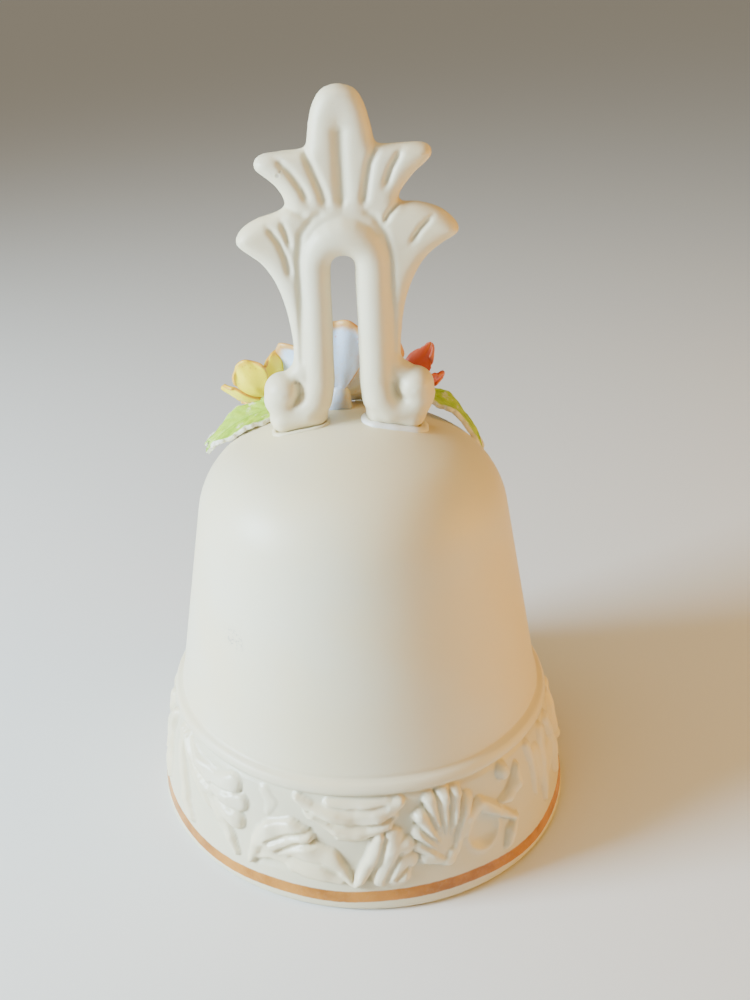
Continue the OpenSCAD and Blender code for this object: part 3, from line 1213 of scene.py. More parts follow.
@dataclass
class PalmetteHandle:
    """Cast handle: a palmette of five lobes over an arch that ends in two scroll feet.

    Its plane is upright, across the bell. Shapes in it are given as across, height and
    radius, in mm.
    """

    half_depth: float = 2.55
    edge_round: float = 2.7
    arch_depth: float = 1.12
    arch_y: float = -0.4
    cell: float = 0.4
    voxel: float = 0.33
    soften: int = 5

    def outline(self) -> np.ndarray:
        """Outline of the palmette, with the tails that run down to the feet.

        Returns:
            Its points across and up, one row each.
        """
        return smooth_loop(
            [
                # top lobe, from its left root over the dome
                (-5.5, 130.4), (-5.1, 133.4), (-4.3, 136.6), (-2.9, 139.0), (-1.0, 139.9), (1.0, 139.9),
                (3.1, 139.0), (4.6, 136.6), (5.5, 133.4), (6.1, 130.6),
                # upper right lobe
                (7.0, 130.0), (9.6, 129.9), (13.2, 129.9), (15.2, 129.3), (15.8, 127.9), (15.0, 126.7),
                (12.8, 124.8), (10.8, 122.4), (10.0, 120.8),
                # lower right lobe and its tail
                (10.8, 120.0), (13.6, 119.8), (16.8, 118.8), (19.2, 116.9), (20.4, 115.0), (19.9, 113.8),
                (17.6, 112.4), (14.8, 110.2), (12.8, 107.2), (11.4, 103.4), (10.5, 99.2), (10.1, 95.0),
                (10.2, 91.8), (11.6, 90.6), (13.2, 89.0), (12.6, 86.0), (9.0, 84.6),
                # between the tails, behind the arch
                (4.4, 88.0), (4.4, 108.0), (0.2, 113.0), (-4.2, 108.0), (-4.2, 88.0),
                # left tail and lower left lobe
                (-8.6, 84.6), (-12.2, 86.0), (-12.0, 89.0), (-10.6, 90.2), (-9.6, 91.6), (-9.5, 95.0),
                (-9.9, 99.2), (-10.8, 103.4), (-12.2, 107.0), (-14.2, 110.0), (-16.6, 112.0), (-18.4, 113.6),
                (-18.6, 115.0), (-17.4, 116.8), (-14.8, 118.3), (-11.6, 119.2), (-9.9, 120.0),
                # upper left lobe
                (-9.6, 121.2), (-10.8, 123.4), (-12.8, 125.3), (-14.5, 126.7), (-14.6, 128.2), (-13.2, 129.3),
                (-10.0, 129.7), (-6.8, 129.8),
            ],
            4,
        )

    def grooves(self) -> list[Groove]:
        """Tooled grooves between the lobes and down their middles.

        Returns:
            The grooves.
        """
        return [
            Groove([(0.2, 133.8), (0.2, 129.0), (0.3, 124.0), (0.4, 120.0)], 1.15, 0.85),
            Groove([(0.2, 129.0), (0.4, 119.6)], 0.7, 0.95),
            Groove([(-5.9, 130.2), (-4.6, 126.6), (-3.1, 122.8), (-2.4, 120.0)], 0.7, 0.85),
            Groove([(6.6, 130.2), (5.2, 127.0), (4.5, 123.4), (4.0, 120.0)], 0.7, 0.85),
            Groove([(-10.8, 128.6), (-8.4, 126.3), (-6.4, 123.2), (-5.4, 120.8)], 0.6, 0.75),
            Groove([(10.6, 129.0), (8.9, 126.2), (7.6, 122.8)], 0.55, 0.85),
            Groove([(-9.9, 120.6), (-7.6, 119.4), (-5.4, 118.6)], 0.55, 0.7),
            Groove([(10.2, 120.4), (8.2, 118.2), (7.2, 116.4)], 0.5, 0.8),
            Groove([(-12.9, 117.2), (-11.0, 114.5), (-9.8, 111.4), (-9.2, 108.0)], 0.5, 0.8),
            Groove([(-10.4, 118.2), (-9.6, 115.8), (-9.0, 113.0)], 0.5, 0.75),
            Groove([(15.7, 117.6), (13.7, 115.6), (11.9, 113.0)], 0.45, 0.8),
            Groove(
                [(-2.6, 119.5), (-4.9, 118.3), (-7.0, 115.6), (-7.6, 111.0), (-7.6, 102.0), (-7.9, 91.4)],
                0.65,
                0.5,
            ),
            Groove(
                [(3.6, 119.4), (5.8, 118.0), (7.6, 115.0), (8.6, 110.6), (8.8, 102.0), (8.8, 92.0)], 0.6, 0.5
            ),
            Groove([(-9.0, 89.0), (-8.5, 87.2), (-8.6, 85.4), (-9.8, 84.2)], 0.7, 0.9),
            Groove([(9.4, 88.4), (8.9, 86.8), (9.2, 85.2), (10.4, 84.4)], 0.6, 0.8),
        ]

    def arch(self) -> Spine:
        """Tube of the arch, from the left foot's scroll over to the right one's.

        Returns:
            Across, height and radius of each ball on the tube.
        """
        left = [
            (-11.8, 86.2, 3.5), (-12.3, 84.4, 3.2), (-11.6, 82.6, 3.0), (-9.8, 81.9, 3.0),
            (-7.5, 82.2, 3.2), (-5.8, 84.2, 3.2), (-5.0, 88.0, 2.95), (-4.9, 95.0, 2.75), (-4.9, 102.0, 2.8),
        ]
        right = [
            (12.5, 86.4, 3.5), (13.0, 84.6, 3.2), (12.3, 82.8, 3.1), (10.2, 81.9, 3.1),
            (7.9, 82.1, 3.3), (6.2, 84.2, 3.4), (5.6, 88.0, 3.2), (5.5, 95.0, 3.1), (5.4, 102.0, 3.1),
        ]
        bend = []
        for i in range(13):
            a = math.pi * i / 12
            lift = math.sin(a)
            side = 0.2 + 5.15 * math.cos(a) * (1 + 0.04 * lift)
            bend.append((side, 109.0 + 5.9 * lift, 2.95 + 0.12 * math.cos(a) + 0.8 * lift**2))
        return left + list(reversed(bend)) + list(reversed(right))

    def build(self, material: bpy.types.Material) -> bpy.types.Object:
        """Fuses the palmette, the arch and the feet into one smooth casting.

        Args:
            material: The handle's finish.

        Returns:
            The handle.
        """
        bm = bmesh.new()
        self.add_palmette(bm)
        self.add_chain(bm, self.arch(), self.arch_depth, self.arch_y)
        for side in (-1, 1):
            sole = [(side * 5.9, 81.3, 2.4), (side * 8.8, 81.1, 2.6), (side * 11.9, 80.6, 2.7)]
            self.add_chain(bm, sole, 1.34, 0.0)
        bmesh.ops.scale(bm, vec=(MM, MM, MM), verts=bm.verts)
        mesh = bpy.data.meshes.new("handle_casting")
        bm.to_mesh(mesh)
        bm.free()
        piece = Piece("handle_casting", Body.BELL, "bisque_handle", [material], ["handle"])
        made = piece.adopt(mesh)
        remesh = made.modifiers.new("fuse", "REMESH")
        remesh.mode = "VOXEL"
        remesh.voxel_size = self.voxel * MM
        remesh.use_smooth_shade = True
        applied(made)
        self.finish(made)
        return made

    def add_palmette(self, bm: bmesh.types.BMesh) -> None:
        """Adds the palmette: a grid cut to its outline and domed towards both faces.

        Args:
            bm: The mesh to add to, in mm.
        """
        loop = self.outline()
        low, high = loop.min(axis=0) - 1.0, loop.max(axis=0) + 1.0
        across, up = (int(n) for n in (high - low) / self.cell)
        grid = bmesh.new()
        bmesh.ops.create_grid(grid, x_segments=across, y_segments=up, size=0.5)
        spots = np.array([(v.co.x + 0.5, v.co.y + 0.5) for v in grid.verts]) * (high - low) + low
        away, near = nearest_on(loop, spots)
        inside = inside_of(loop, spots)
        grid.verts.ensure_lookup_table()
        cut = [f for f in grid.faces if not any(inside[v.index] for v in f.verts)]
        for vert in grid.verts:
            i = vert.index
            x, z = spots[i] if inside[i] else near[i]
            share = min(1.0, away[i] / self.edge_round) if inside[i] else 0.0
            vert.co = (x, -self.half_depth * math.sqrt(1.0 - (1.0 - share) ** 2), z)
        bmesh.ops.delete(grid, geom=cut, context="FACES")
        back = bmesh.ops.duplicate(grid, geom=grid.verts[:] + grid.edges[:] + grid.faces[:])["geom"]
        for vert in (v for v in back if isinstance(v, bmesh.types.BMVert)):
            vert.co.y = -vert.co.y
        bmesh.ops.remove_doubles(grid, verts=grid.verts, dist=0.002)
        bmesh.ops.recalc_face_normals(grid, faces=grid.faces)
        mesh = bpy.data.meshes.new("palmette")
        grid.to_mesh(mesh)
        grid.free()
        bm.from_mesh(mesh)
        bpy.data.meshes.remove(mesh)

    def add_chain(self, bm: bmesh.types.BMesh, tube: Spine, depth: float, y: float) -> None:
        """Adds a tapering tube of balls and cones.

        Args:
            bm: The mesh to add to, in mm.
            tube: The tube's points.
            depth: Its depth over its width.
            y: Depth of its middle.
        """
        flatten = Matrix.Translation((0, y, 0)) @ Matrix.Diagonal((1, depth, 1, 1))
        for x, z, r in tube:
            place = flatten @ Matrix.Translation((x, 0, z))
            bmesh.ops.create_uvsphere(bm, u_segments=24, v_segments=16, radius=r, matrix=place)
        for (ax, az, ar), (bx, bz, br) in zip(tube, tube[1:]):
            run = Vector((bx - ax, 0, bz - az))
            turn = run.to_track_quat("Z", "Y").to_matrix().to_4x4()
            middle = Matrix.Translation(((ax + bx) / 2, 0, (az + bz) / 2))
            bmesh.ops.create_cone(
                bm, cap_ends=True, segments=24, radius1=ar, radius2=br, depth=run.length,
                matrix=flatten @ middle @ turn,
            )

    def finish(self, made: bpy.types.Object) -> None:
        """Softens the casting, tools its grooves and leaves a faint mould seam.

        Args:
            made: The fused handle, in metres.
        """
        bm = bmesh.new()
        bm.from_mesh(made.data)
        for _ in range(self.soften):
            self.smooth(bm)
        bm.normal_update()
        spots = np.array([(v.co.x, v.co.z) for v in bm.verts]) / MM
        depth = self.groove_depth(spots)
        for i, vert in enumerate(bm.verts):
            x, y, z = (c / MM for c in vert.co)
            flat = eased_one(0.1, 0.5, abs(vert.normal.y))
            seam = math.exp(-((y / 0.35) ** 2)) * 0.06 * (1.0 - abs(vert.normal.y))
            waver = noise.noise(Vector((x, y, z)) * 0.16) * 0.14
            vert.co += vert.normal * ((seam + waver) * MM)
            vert.co.y -= math.copysign(depth[i] * flat * MM, y)
        self.smooth(bm)
        lift = NodeBox.of("handle").high.z * MM - max(vert.co.z for vert in bm.verts)
        bmesh.ops.translate(bm, vec=(0, 0, lift), verts=bm.verts)
        for face in bm.faces:
            face.smooth = True
        bm.to_mesh(made.data)
        bm.free()

    def smooth(self, bm: bmesh.types.BMesh) -> None:
        """Moves every point half way to the middle of its neighbours.

        Args:
            bm: The mesh.
        """
        bmesh.ops.smooth_vert(
            bm, verts=bm.verts, factor=0.5, use_axis_x=True, use_axis_y=True, use_axis_z=True
        )

    def groove_depth(self, spots: np.ndarray) -> np.ndarray:
        """Depth of the tooling at places in the handle's plane.

        Args:
            spots: Across and height in mm.

        Returns:
            The depths in mm.
        """
        depth = np.zeros(len(spots))
        for groove in self.grooves():
            run = np.array(groove.points)
            away, near = nearest_on(run, spots, closed=False)
            start = np.hypot(*(near - run[0]).T)
            end = np.hypot(*(near - run[-1]).T)
            fade = eased(0.0, 1.4, start) * 0.75 + 0.25
            fade *= eased(0.0, 1.4, end) * 0.75 + 0.25
            depth = np.maximum(depth, groove.depth * fade * np.exp(-((away / groove.width) ** 2)))
        return depth


@dataclass
class FootSlip:
    """Bead of slip squeezed out where a foot meets the crown."""

    side: int
    crown_r: float = 50.68
    crown_top: float = 79.66
    bead_r: float = 0.5
    half_x: float = 5.4
    half_y: float = 3.15
    outward: float = 0.6
    ring_r: float = 4.0

    def build(self, material: bpy.types.Material) -> bpy.types.Object:
        """Spins a ring and lays it round the foot on the crown.

        Args:
            material: The slip's finish.

        Returns:
            The slip.
        """
        name = "slip_left" if self.side < 0 else "slip_right"
        centre = NodeBox.of(name).middle
        bm = bmesh.new()
        bmesh.ops.create_circle(
            bm, segments=10, radius=1.0,
            matrix=Matrix.Translation((self.ring_r, 0, 0)) @ Matrix.Rotation(math.pi / 2, 4, "X"),
        )
        bmesh.ops.spin(
            bm, geom=bm.verts[:] + bm.edges[:], cent=(0, 0, 0), axis=(0, 0, 1), dvec=(0, 0, 0),
            angle=math.tau, steps=96, use_merge=True, use_duplicate=False,
        )
        bmesh.ops.remove_doubles(bm, verts=bm.verts, dist=0.001)
        bmesh.ops.recalc_face_normals(bm, faces=bm.faces)
        centre_z = self.crown_top - self.crown_r
        for vert in bm.verts:
            turn = math.atan2(vert.co.y, vert.co.x)
            out = math.hypot(vert.co.x, vert.co.y) - self.ring_r
            lift = vert.co.z
            aim = Vector((math.cos(turn), math.sin(turn), 0.0))
            wobble = 1.0 + 0.3 * noise.noise(aim * 2.2 + Vector((0, 0, self.side * 4.0)))
            squarish = (abs(aim.x) ** 3 + abs(aim.y) ** 3) ** (-1 / 3)
            spread = out * self.bead_r * 1.35 * wobble
            x = centre.x + self.side * self.outward + (self.half_x * squarish + spread) * aim.x
            y = centre.y + (self.half_y * squarish + spread) * aim.y
            base = centre_z + math.sqrt(self.crown_r**2 - x * x - y * y)
            vert.co = (x, y, base + 0.08 + lift * self.bead_r * wobble)
        return Piece(name + "_bead", Body.BELL, "bisque_handle", [material], [name]).take(bm)


# --------------------------------------------------------------------------------------
# Flowers and leaves
# --------------------------------------------------------------------------------------


def on_ball(polar: float, turn: float) -> Vector:
    """A point of the unit ball.

    Args:
        polar: Angle down from its top, in radians.
        turn: Angle round its upright axis, in radians.

    Returns:
        The point.
    """
    return Vector((math.sin(polar) * math.cos(turn), math.sin(polar) * math.sin(turn), math.cos(polar)))


@dataclass(frozen=True)
class Heart:
    """A flower's middle as the frame has it: a ball's radius and height, and the stem below the base."""

    radius: float
    height: float
    stem: float


@dataclass(frozen=True)
class Stand:
    """Where a flower stands: its base, its lean forwards, its turn about the upright and its own spin."""

    base: Point
    lean: float
    turn: float
    spin: float = 0.0

    @classmethod
    def under(cls, node: str, heart: Heart, lean: float, turn: float = 0.0, spin: float = 0.0) -> "Stand":
        """Finds a flower's base from its CAD heart, whose ball is what reaches furthest forwards and up.

        Args:
            node: The CAD node of the heart.
            heart: The heart's sizes.
            lean: Degrees that the flower leans forwards.
            turn: Degrees that it is turned about the upright.
            spin: Degrees that it is turned about its own axis.

        Returns:
            The stand.
        """
        box = NodeBox.of(node)
        aim = on_ball(math.radians(lean), math.radians(turn + 90.0))
        across = box.middle.x
        if turn != 0:
            across = box.low.x + heart.radius if turn > 0 else box.high.x - heart.radius
        ball = Vector((across, box.high.y - heart.radius, box.high.z - heart.radius))
        return cls(tuple(ball - aim * heart.height), lean, turn, spin)

    def matrix(self) -> Matrix:
        """The flower's own frame, in mm.

        Returns:
            The matrix from the flower's frame to the row's.
        """
        spin = Matrix.Rotation(math.radians(self.turn), 4, "Z")
        tip = Matrix.Rotation(math.radians(-self.lean), 4, "X")
        return Matrix.Translation(self.base) @ spin @ tip @ Matrix.Rotation(math.radians(self.spin), 4, "Z")


def clay_sheet(
    shape: Callable[[float, float], Vector],
    across: int,
    along: int,
    vein: Callable[[float, float], float] | None = None,
) -> tuple[bmesh.types.BMesh, bmesh.types.BMLayerItem]:
    """A flat grid shaped into a sheet of clay, with its own colour attribute.

    Args:
        shape: Gives a point in mm from u (-1 to 1 across) and v (0 to 1 along).
        across: Faces across.
        along: Faces along.
        vein: Gives the third channel, or nothing.

    Returns:
        The bmesh, and the attribute's layer.
    """
    bm = bmesh.new()
    bmesh.ops.create_grid(bm, x_segments=across, y_segments=along, size=1.0)
    layer = bm.verts.layers.float_color.new("sheet")
    for vert in bm.verts:
        u, v = vert.co.x, (vert.co.y + 1.0) / 2.0
        vert[layer] = (v, abs(u), vein(u, v) if vein else 0.0, 1.0)
        vert.co = shape(u, v)
    return bm, layer


def thicken(made: bpy.types.Object, thick_mm: float, offset: float) -> None:
    """Gives a sheet its thickness and rounds it, with other materials on its back and edge.

    Args:
        made: The sheet.
        thick_mm: Its thickness.
        offset: Where the sheet lies in it, from -1 to 1.
    """
    wall = made.modifiers.new("wall", "SOLIDIFY")
    wall.thickness = thick_mm * MM
    wall.offset = offset
    wall.material_offset = Face.OUTER.value
    wall.material_offset_rim = Face.EDGE.value
    wall.use_even_offset = False
    soft = made.modifiers.new("soft", "SUBSURF")
    soft.levels = 1
    soft.render_levels = 1
    applied(made)


@dataclass
class Bloom:
    """A hand-made flower: rings of cupped petals round a heart."""

    name: str
    stand: Stand
    slot: str
    skins: list[bpy.types.Material]
    heart_skin: bpy.types.Material
    cup_r: float
    heart: Heart
    petals: int = 5
    reach: float = 74.0
    ruffle: float = 0.45
    curl: float = 1.1
    thickness: float = 0.8
    point: float = 0.16
    point_power: float = 6.0
    seed: float = 0.0

    def build(self) -> None:
        """Makes the petals of the outer ring."""
        for index in range(self.petals):
            self.petal(f"{self.name}_{index + 1}", index, self.petals, self.cup_r, self.cup_r, self.reach)

    def petal(self, node: str, index: float, count: int, cup_r: float, cup_z: float, reach: float) -> None:
        """Makes one petal.

        Args:
            node: The CAD node that it stands for.
            index: Its place in the ring.
            count: Petals in the ring.
            cup_r: Radius of the ring's cup in mm.
            cup_z: Height of the cup's centre above the flower's base.
            reach: Degrees from the base to the petal's tip.
        """
        frame_of = self.stand.matrix() @ Matrix.Rotation(math.radians(360.0 / count * index - 90.0), 4, "Z")
        half_share = math.radians(180.0 / count) * 1.08
        own = self.seed + index * 1.7 + count

        def shape(u: float, v: float) -> Vector:
            """A point of the petal in the row's frame.

            Args:
                u: Across, from -1 to 1.
                v: Along, from 0 to 1.

            Returns:
                The point in mm.
            """
            waver = noise.noise(Vector((u * 1.3, v * 1.6, own)))
            taper = 1.0 - 0.30 * abs(u) ** 2.6 * v * v
            polar = math.radians(5.0 + (reach - 5.0) * v * taper)
            spread = half_share * (0.96 + 0.1 * waver) * (1.0 - self.point * v**self.point_power)
            turn = u * spread
            frill = math.sin(u * 6.0 + own) * 0.6 + math.sin(u * 11.0 + own * 2.3) * 0.4
            out = 0.45 + 0.42 * u + self.ruffle * v**3 * frill + self.curl * max(0.0, (v - 0.72) / 0.28) ** 2
            r = cup_r + out + 0.35 * waver
            return frame_of @ (Vector((0, 0, cup_z)) + on_ball(math.pi - polar, turn) * r)

        bm, _ = clay_sheet(shape, 18, 16)
        bmesh.ops.recalc_face_normals(bm, faces=bm.faces)
        middle = frame_of @ Vector((0, 0, cup_z))
        face = bm.faces[:][len(bm.faces) // 2]
        if face.normal.dot(face.calc_center_median() - middle) > 0:
            bmesh.ops.reverse_faces(bm, faces=bm.faces)
        made = Piece(node + "_clay", Body.BELL, self.slot, self.skins, [node]).take(bm)
        thicken(made, self.thickness, 0.0)

    def stamens(self, node: str, beads: int = 26) -> None:
        """Makes the heart: a dome of small beads on its stem.

        Args:
            node: The CAD node that it stands for.
            beads: Number of beads.
        """
        bm = bmesh.new()
        place = self.stand.matrix()
        radius, height = self.heart.radius * 0.95, self.heart.height
        bmesh.ops.create_icosphere(
            bm, subdivisions=3, radius=radius, matrix=place @ Matrix.Translation((0, 0, height))
        )
        self.stalk(bm, 1.5, 1.3)
        golden = math.pi * (3.0 - math.sqrt(5.0))
        for i in range(beads):
            polar = math.acos(1.0 - 1.25 * (i + 0.5) / beads)
            turn = i * golden
            spot = on_ball(polar, turn) * (radius * 1.05) + Vector((0, 0, height))
            bmesh.ops.create_icosphere(
                bm, subdivisions=2, radius=0.42, matrix=place @ Matrix.Translation(spot)
            )
        Piece(node + "_clay", Body.BELL, self.slot, [self.heart_skin, self.skins[1]], [node]).take(bm)

    def stalk(self, bm: bmesh.types.BMesh, foot_r: float, top_r: float) -> None:
        """Adds the stem, in the colour of the petals' backs.

        Args:
            bm: The heart's mesh, in mm.
            foot_r: Radius at the crown.
            top_r: Radius in the heart.
        """
        before = set(bm.faces)
        height, stem = self.heart.height, self.heart.stem
        bmesh.ops.create_cone(
            bm, cap_ends=True, segments=24, radius1=foot_r, radius2=top_r, depth=stem + height,
            matrix=self.stand.matrix() @ Matrix.Translation((0, 0, (height - stem) / 2)),
        )
        for face in bm.faces:
            if face not in before:
                face.material_index = 1


@dataclass
class Rose(Bloom):
    """The middle flower, with an inner ring of petals round a rolled bud."""

    inner_petals: int = 3
    inner_r: float = 7.0
    inner_z: float = 8.3
    inner_reach: float = 92.0

    def build(self) -> None:
        """Makes both rings and the bud."""
        for index in range(self.petals):
            node = f"rose_outer_petal_{index + 1}"
            self.petal(node, index, self.petals, self.cup_r, self.cup_r, self.reach)
        for index in range(self.inner_petals):
            node = f"rose_inner_petal_{index + 1}"
            self.petal(node, index + 0.5, self.inner_petals, self.inner_r, self.inner_z, self.inner_reach)
        self.bud("rose_core")

    def bud(self, node: str) -> None:
        """Makes the rolled bud with its spiral lip.

        Args:
            node: The CAD node that it stands for.
        """
        bm = bmesh.new()
        place = self.stand.matrix()
        radius, height = self.heart.radius, self.heart.height
        bmesh.ops.create_uvsphere(bm, u_segments=64, v_segments=40, radius=1.0)
        for vert in bm.verts:
            turn = math.atan2(vert.co.y, vert.co.x) / math.tau
            flat = math.hypot(vert.co.x, vert.co.y)
            roll = (turn + 2.2 * flat + 0.1 * vert.co.z) % 1.0
            lip = 0.16 * (1.0 - roll) if vert.co.z > -0.2 else 0.16 * (1.0 - roll) * (1.2 + vert.co.z)
            vert.co = vert.co * (radius * (0.9 + max(0.0, lip)))
            vert.co.z = vert.co.z * 1.1 + height
        bmesh.ops.transform(bm, matrix=place, verts=bm.verts)
        bmesh.ops.recalc_face_normals(bm, faces=bm.faces)
        self.stalk(bm, 2.5, 1.6)
        Piece(node + "_clay", Body.BELL, self.slot, [self.heart_skin, self.skins[1]], [node]).take(bm)


@dataclass
class Leaf:
    """A pointed leaf with a notched edge, bent over the shoulder."""

    node: str
    base: Point
    turn: float
    dip: float
    roll: float
    length: float
    width: float
    bend_r: float
    skins: list[bpy.types.Material]
    teeth: int = 8
    thickness: float = 1.0
    blunt: float = 0.0

    def build(self) -> bpy.types.Object:
        """Makes the leaf.

        Returns:
            The leaf.
        """
        place = (
            Matrix.Translation(self.base)
            @ Matrix.Rotation(math.radians(self.turn), 4, "Z")
            @ Matrix.Rotation(math.radians(self.dip), 4, "Y")
            @ Matrix.Rotation(math.radians(self.roll), 4, "X")
        )
        own = self.turn * 0.1

        def vein(u: float, v: float) -> float:
            """Where the midrib and the side veins are.

            Args:
                u: Across, from -1 to 1.
                v: Along, from 0 to 1.

            Returns:
                1 on a vein.
            """
            rib = math.exp(-((u / 0.09) ** 2))
            side = (v * 7.0 - abs(u) * 1.6) % 1.0
            return min(1.0, rib + 0.6 * math.exp(-(((side - 0.5) / 0.12) ** 2)) * min(1.0, abs(u) * 4.0))

        def shape(u: float, v: float) -> Vector:
            """A point of the leaf in the row's frame.

            Args:
                u: Across, from -1 to 1.
                v: Along, from 0 to 1.

            Returns:
                The point in mm.
            """
            pointed = math.sin(math.pi * min(1.0, 0.04 + 0.96 * v) ** 0.82) ** 0.75
            half = self.width / 2.0 * max(pointed, self.blunt * eased_one(0.5, 0.9, v))
            notch = 1.0 - 0.13 * ((v * self.teeth) % 1.0) * eased_one(0.08, 0.3, v) * abs(u) ** 3
            y = u * half * notch
            x = self.length * v * (1.0 - self.blunt * 0.26 * v**6 * abs(math.sin(u * 4.5 + 0.6)))
            drop = self.bend_r - math.sqrt(max(0.0, self.bend_r**2 - min(x, self.bend_r * 0.98) ** 2))
            frill = 0.45 * math.sin(v * 14.0 + own + (1.5 if u > 0 else 0.0)) * u * u
            cup = 0.5 * u * u - 0.42 * vein(u, v) * 0.8
            return place @ Vector((x, y, -drop + cup + frill))

        bm, _ = clay_sheet(shape, 22, 46, vein)
        bmesh.ops.remove_doubles(bm, verts=bm.verts, dist=0.01)
        bmesh.ops.recalc_face_normals(bm, faces=bm.faces)
        up = (place.to_3x3() @ Vector((0, 0, 1))).normalized()
        if bm.faces[:][len(bm.faces) // 2].normal.dot(up) < 0:
            bmesh.ops.reverse_faces(bm, faces=bm.faces)
        made = Piece(self.node + "_clay", Body.BELL, "leaf_glaze", self.skins, [self.node]).take(bm)
        thicken(made, self.thickness, -1.0)
        return made


def eased_one(low: float, high: float, value: float) -> float:
    """Smooth step of one number.

    Args:
        low: The value at which it is 0.
        high: The value at which it is 1.
        value: The number.

    Returns:
        Its step.
    """
    share = min(1.0, max(0.0, (value - low) / (high - low)))
    return share * share * (3.0 - 2.0 * share)


@dataclass
class Posy:
    """All the flowers and leaves on the crown."""

    def build(self) -> None:
        """Makes the three flowers and the four leaves."""
        self.rose()
        self.small_flowers()
        self.leaves()

    def rose(self) -> None:
        """Makes the large pale rose in the middle."""
        face = PetalTint(
            "rose_face",
            middle=rgb(0.80, 0.55, 0.36),
            throat=rgb(0.72, 0.25, 0.14),
            edge=rgb(0.82, 0.62, 0.30),
            dots=rgb(0.75, 0.12, 0.10),
        )
        back = PetalTint(
            "rose_back",
            middle=rgb(0.60, 0.74, 0.96),
            throat=rgb(0.62, 0.70, 0.84),
            edge=rgb(0.72, 0.40, 0.12),
            dots=rgb(0.70, 0.16, 0.12),
        )
        edge = PetalTint(
            "rose_edge",
            middle=rgb(0.76, 0.46, 0.14),
            throat=rgb(0.70, 0.60, 0.5),
            edge=rgb(0.76, 0.42, 0.11),
            dots=rgb(0.70, 0.14, 0.10),
        )
        skins = [face.make(), back.make(), edge.make()]
        heart = Heart(3.4, 6.0, 5.0)
        stand = Stand.under("rose_core", heart, lean=52)
        Rose("rose", stand, "rose_glaze", skins, skins[0], 11.4, heart, ruffle=0.75, curl=1.6).build()

    def small_flowers(self) -> None:
        """Makes the yellow and the red flower."""
        gold = PetalTint(
            "yellow_face",
            middle=rgb(1.0, 0.82, 0.0),
            throat=rgb(0.94, 0.64, 0.0),
            edge=rgb(0.92, 0.60, 0.0),
            dots=rgb(0.35, 0.18, 0.05),
            dot_amount=0.3,
        ).make()
        gold_rim = PetalTint(
            "yellow_edge",
            middle=rgb(0.84, 0.56, 0.05),
            throat=rgb(0.76, 0.42, 0.03),
            edge=rgb(0.78, 0.40, 0.03),
            dots=rgb(0.4, 0.2, 0.05),
            dot_amount=0.3,
        ).make()
        red = PetalTint(
            "red_face",
            middle=rgb(0.56, 0.085, 0.04),
            throat=rgb(0.36, 0.03, 0.015),
            edge=rgb(0.64, 0.16, 0.09),
            dots=rgb(0.3, 0.03, 0.02),
            dot_amount=0.3,
        ).make()
        heart = Heart(2.0, 2.2, 6.0)
        yellow = Bloom(
            "yellow_petal", Stand.under("yellow_core", heart, lean=50, turn=30, spin=-45), "yellow_glaze",
            [gold, gold, gold_rim], gold_rim, 6.4, heart, reach=86.0, ruffle=0.35, curl=0.7,
            thickness=0.75, seed=2.0,
        )
        yellow.build()
        yellow.stamens("yellow_core")
        heart = Heart(2.0, 2.2, 8.0)
        pointed = Bloom(
            "red_petal", Stand.under("red_core", heart, lean=62, turn=-24, spin=45), "red_glaze",
            [red, red, red], gold, 6.4, heart, reach=92.0, ruffle=0.25, curl=0.5,
            thickness=0.75, point=0.82, point_power=2.6, seed=5.0,
        )
        pointed.build()
        pointed.stamens("red_core")

    def leaves(self) -> None:
        """Makes the four leaves."""
        pale, pale_deep = rgb(0.66, 0.70, 0.42), rgb(0.55, 0.60, 0.30)
        skins = [
            LeafTint("leaf_top", rgb(0.46, 0.68, 0.04), rgb(0.27, 0.46, 0.02)).make(),
            LeafTint("leaf_under", pale, pale_deep, cover=0.45).make(),
            LeafTint("leaf_edge", pale, pale_deep, cover=0.25).make(),
        ]
        Leaf("leaf_left", (-12.8, 10, 79.2), 188, 5, -12, 17, 9, 22, skins, blunt=0.34).build()
        Leaf("leaf_right", (12, 10.6, 81.6), -8, 6, 2, 15.5, 7, 16, skins).build()
        Leaf("leaf_front_left", (-7, 20.6, 76.6), 118, 24, 0, 17, 9, 17, skins).build()
        Leaf("leaf_front_right", (5.4, 21, 76.6), 82, 24, 0, 16, 9, 17, skins).build()


# --------------------------------------------------------------------------------------
# Clapper
# --------------------------------------------------------------------------------------


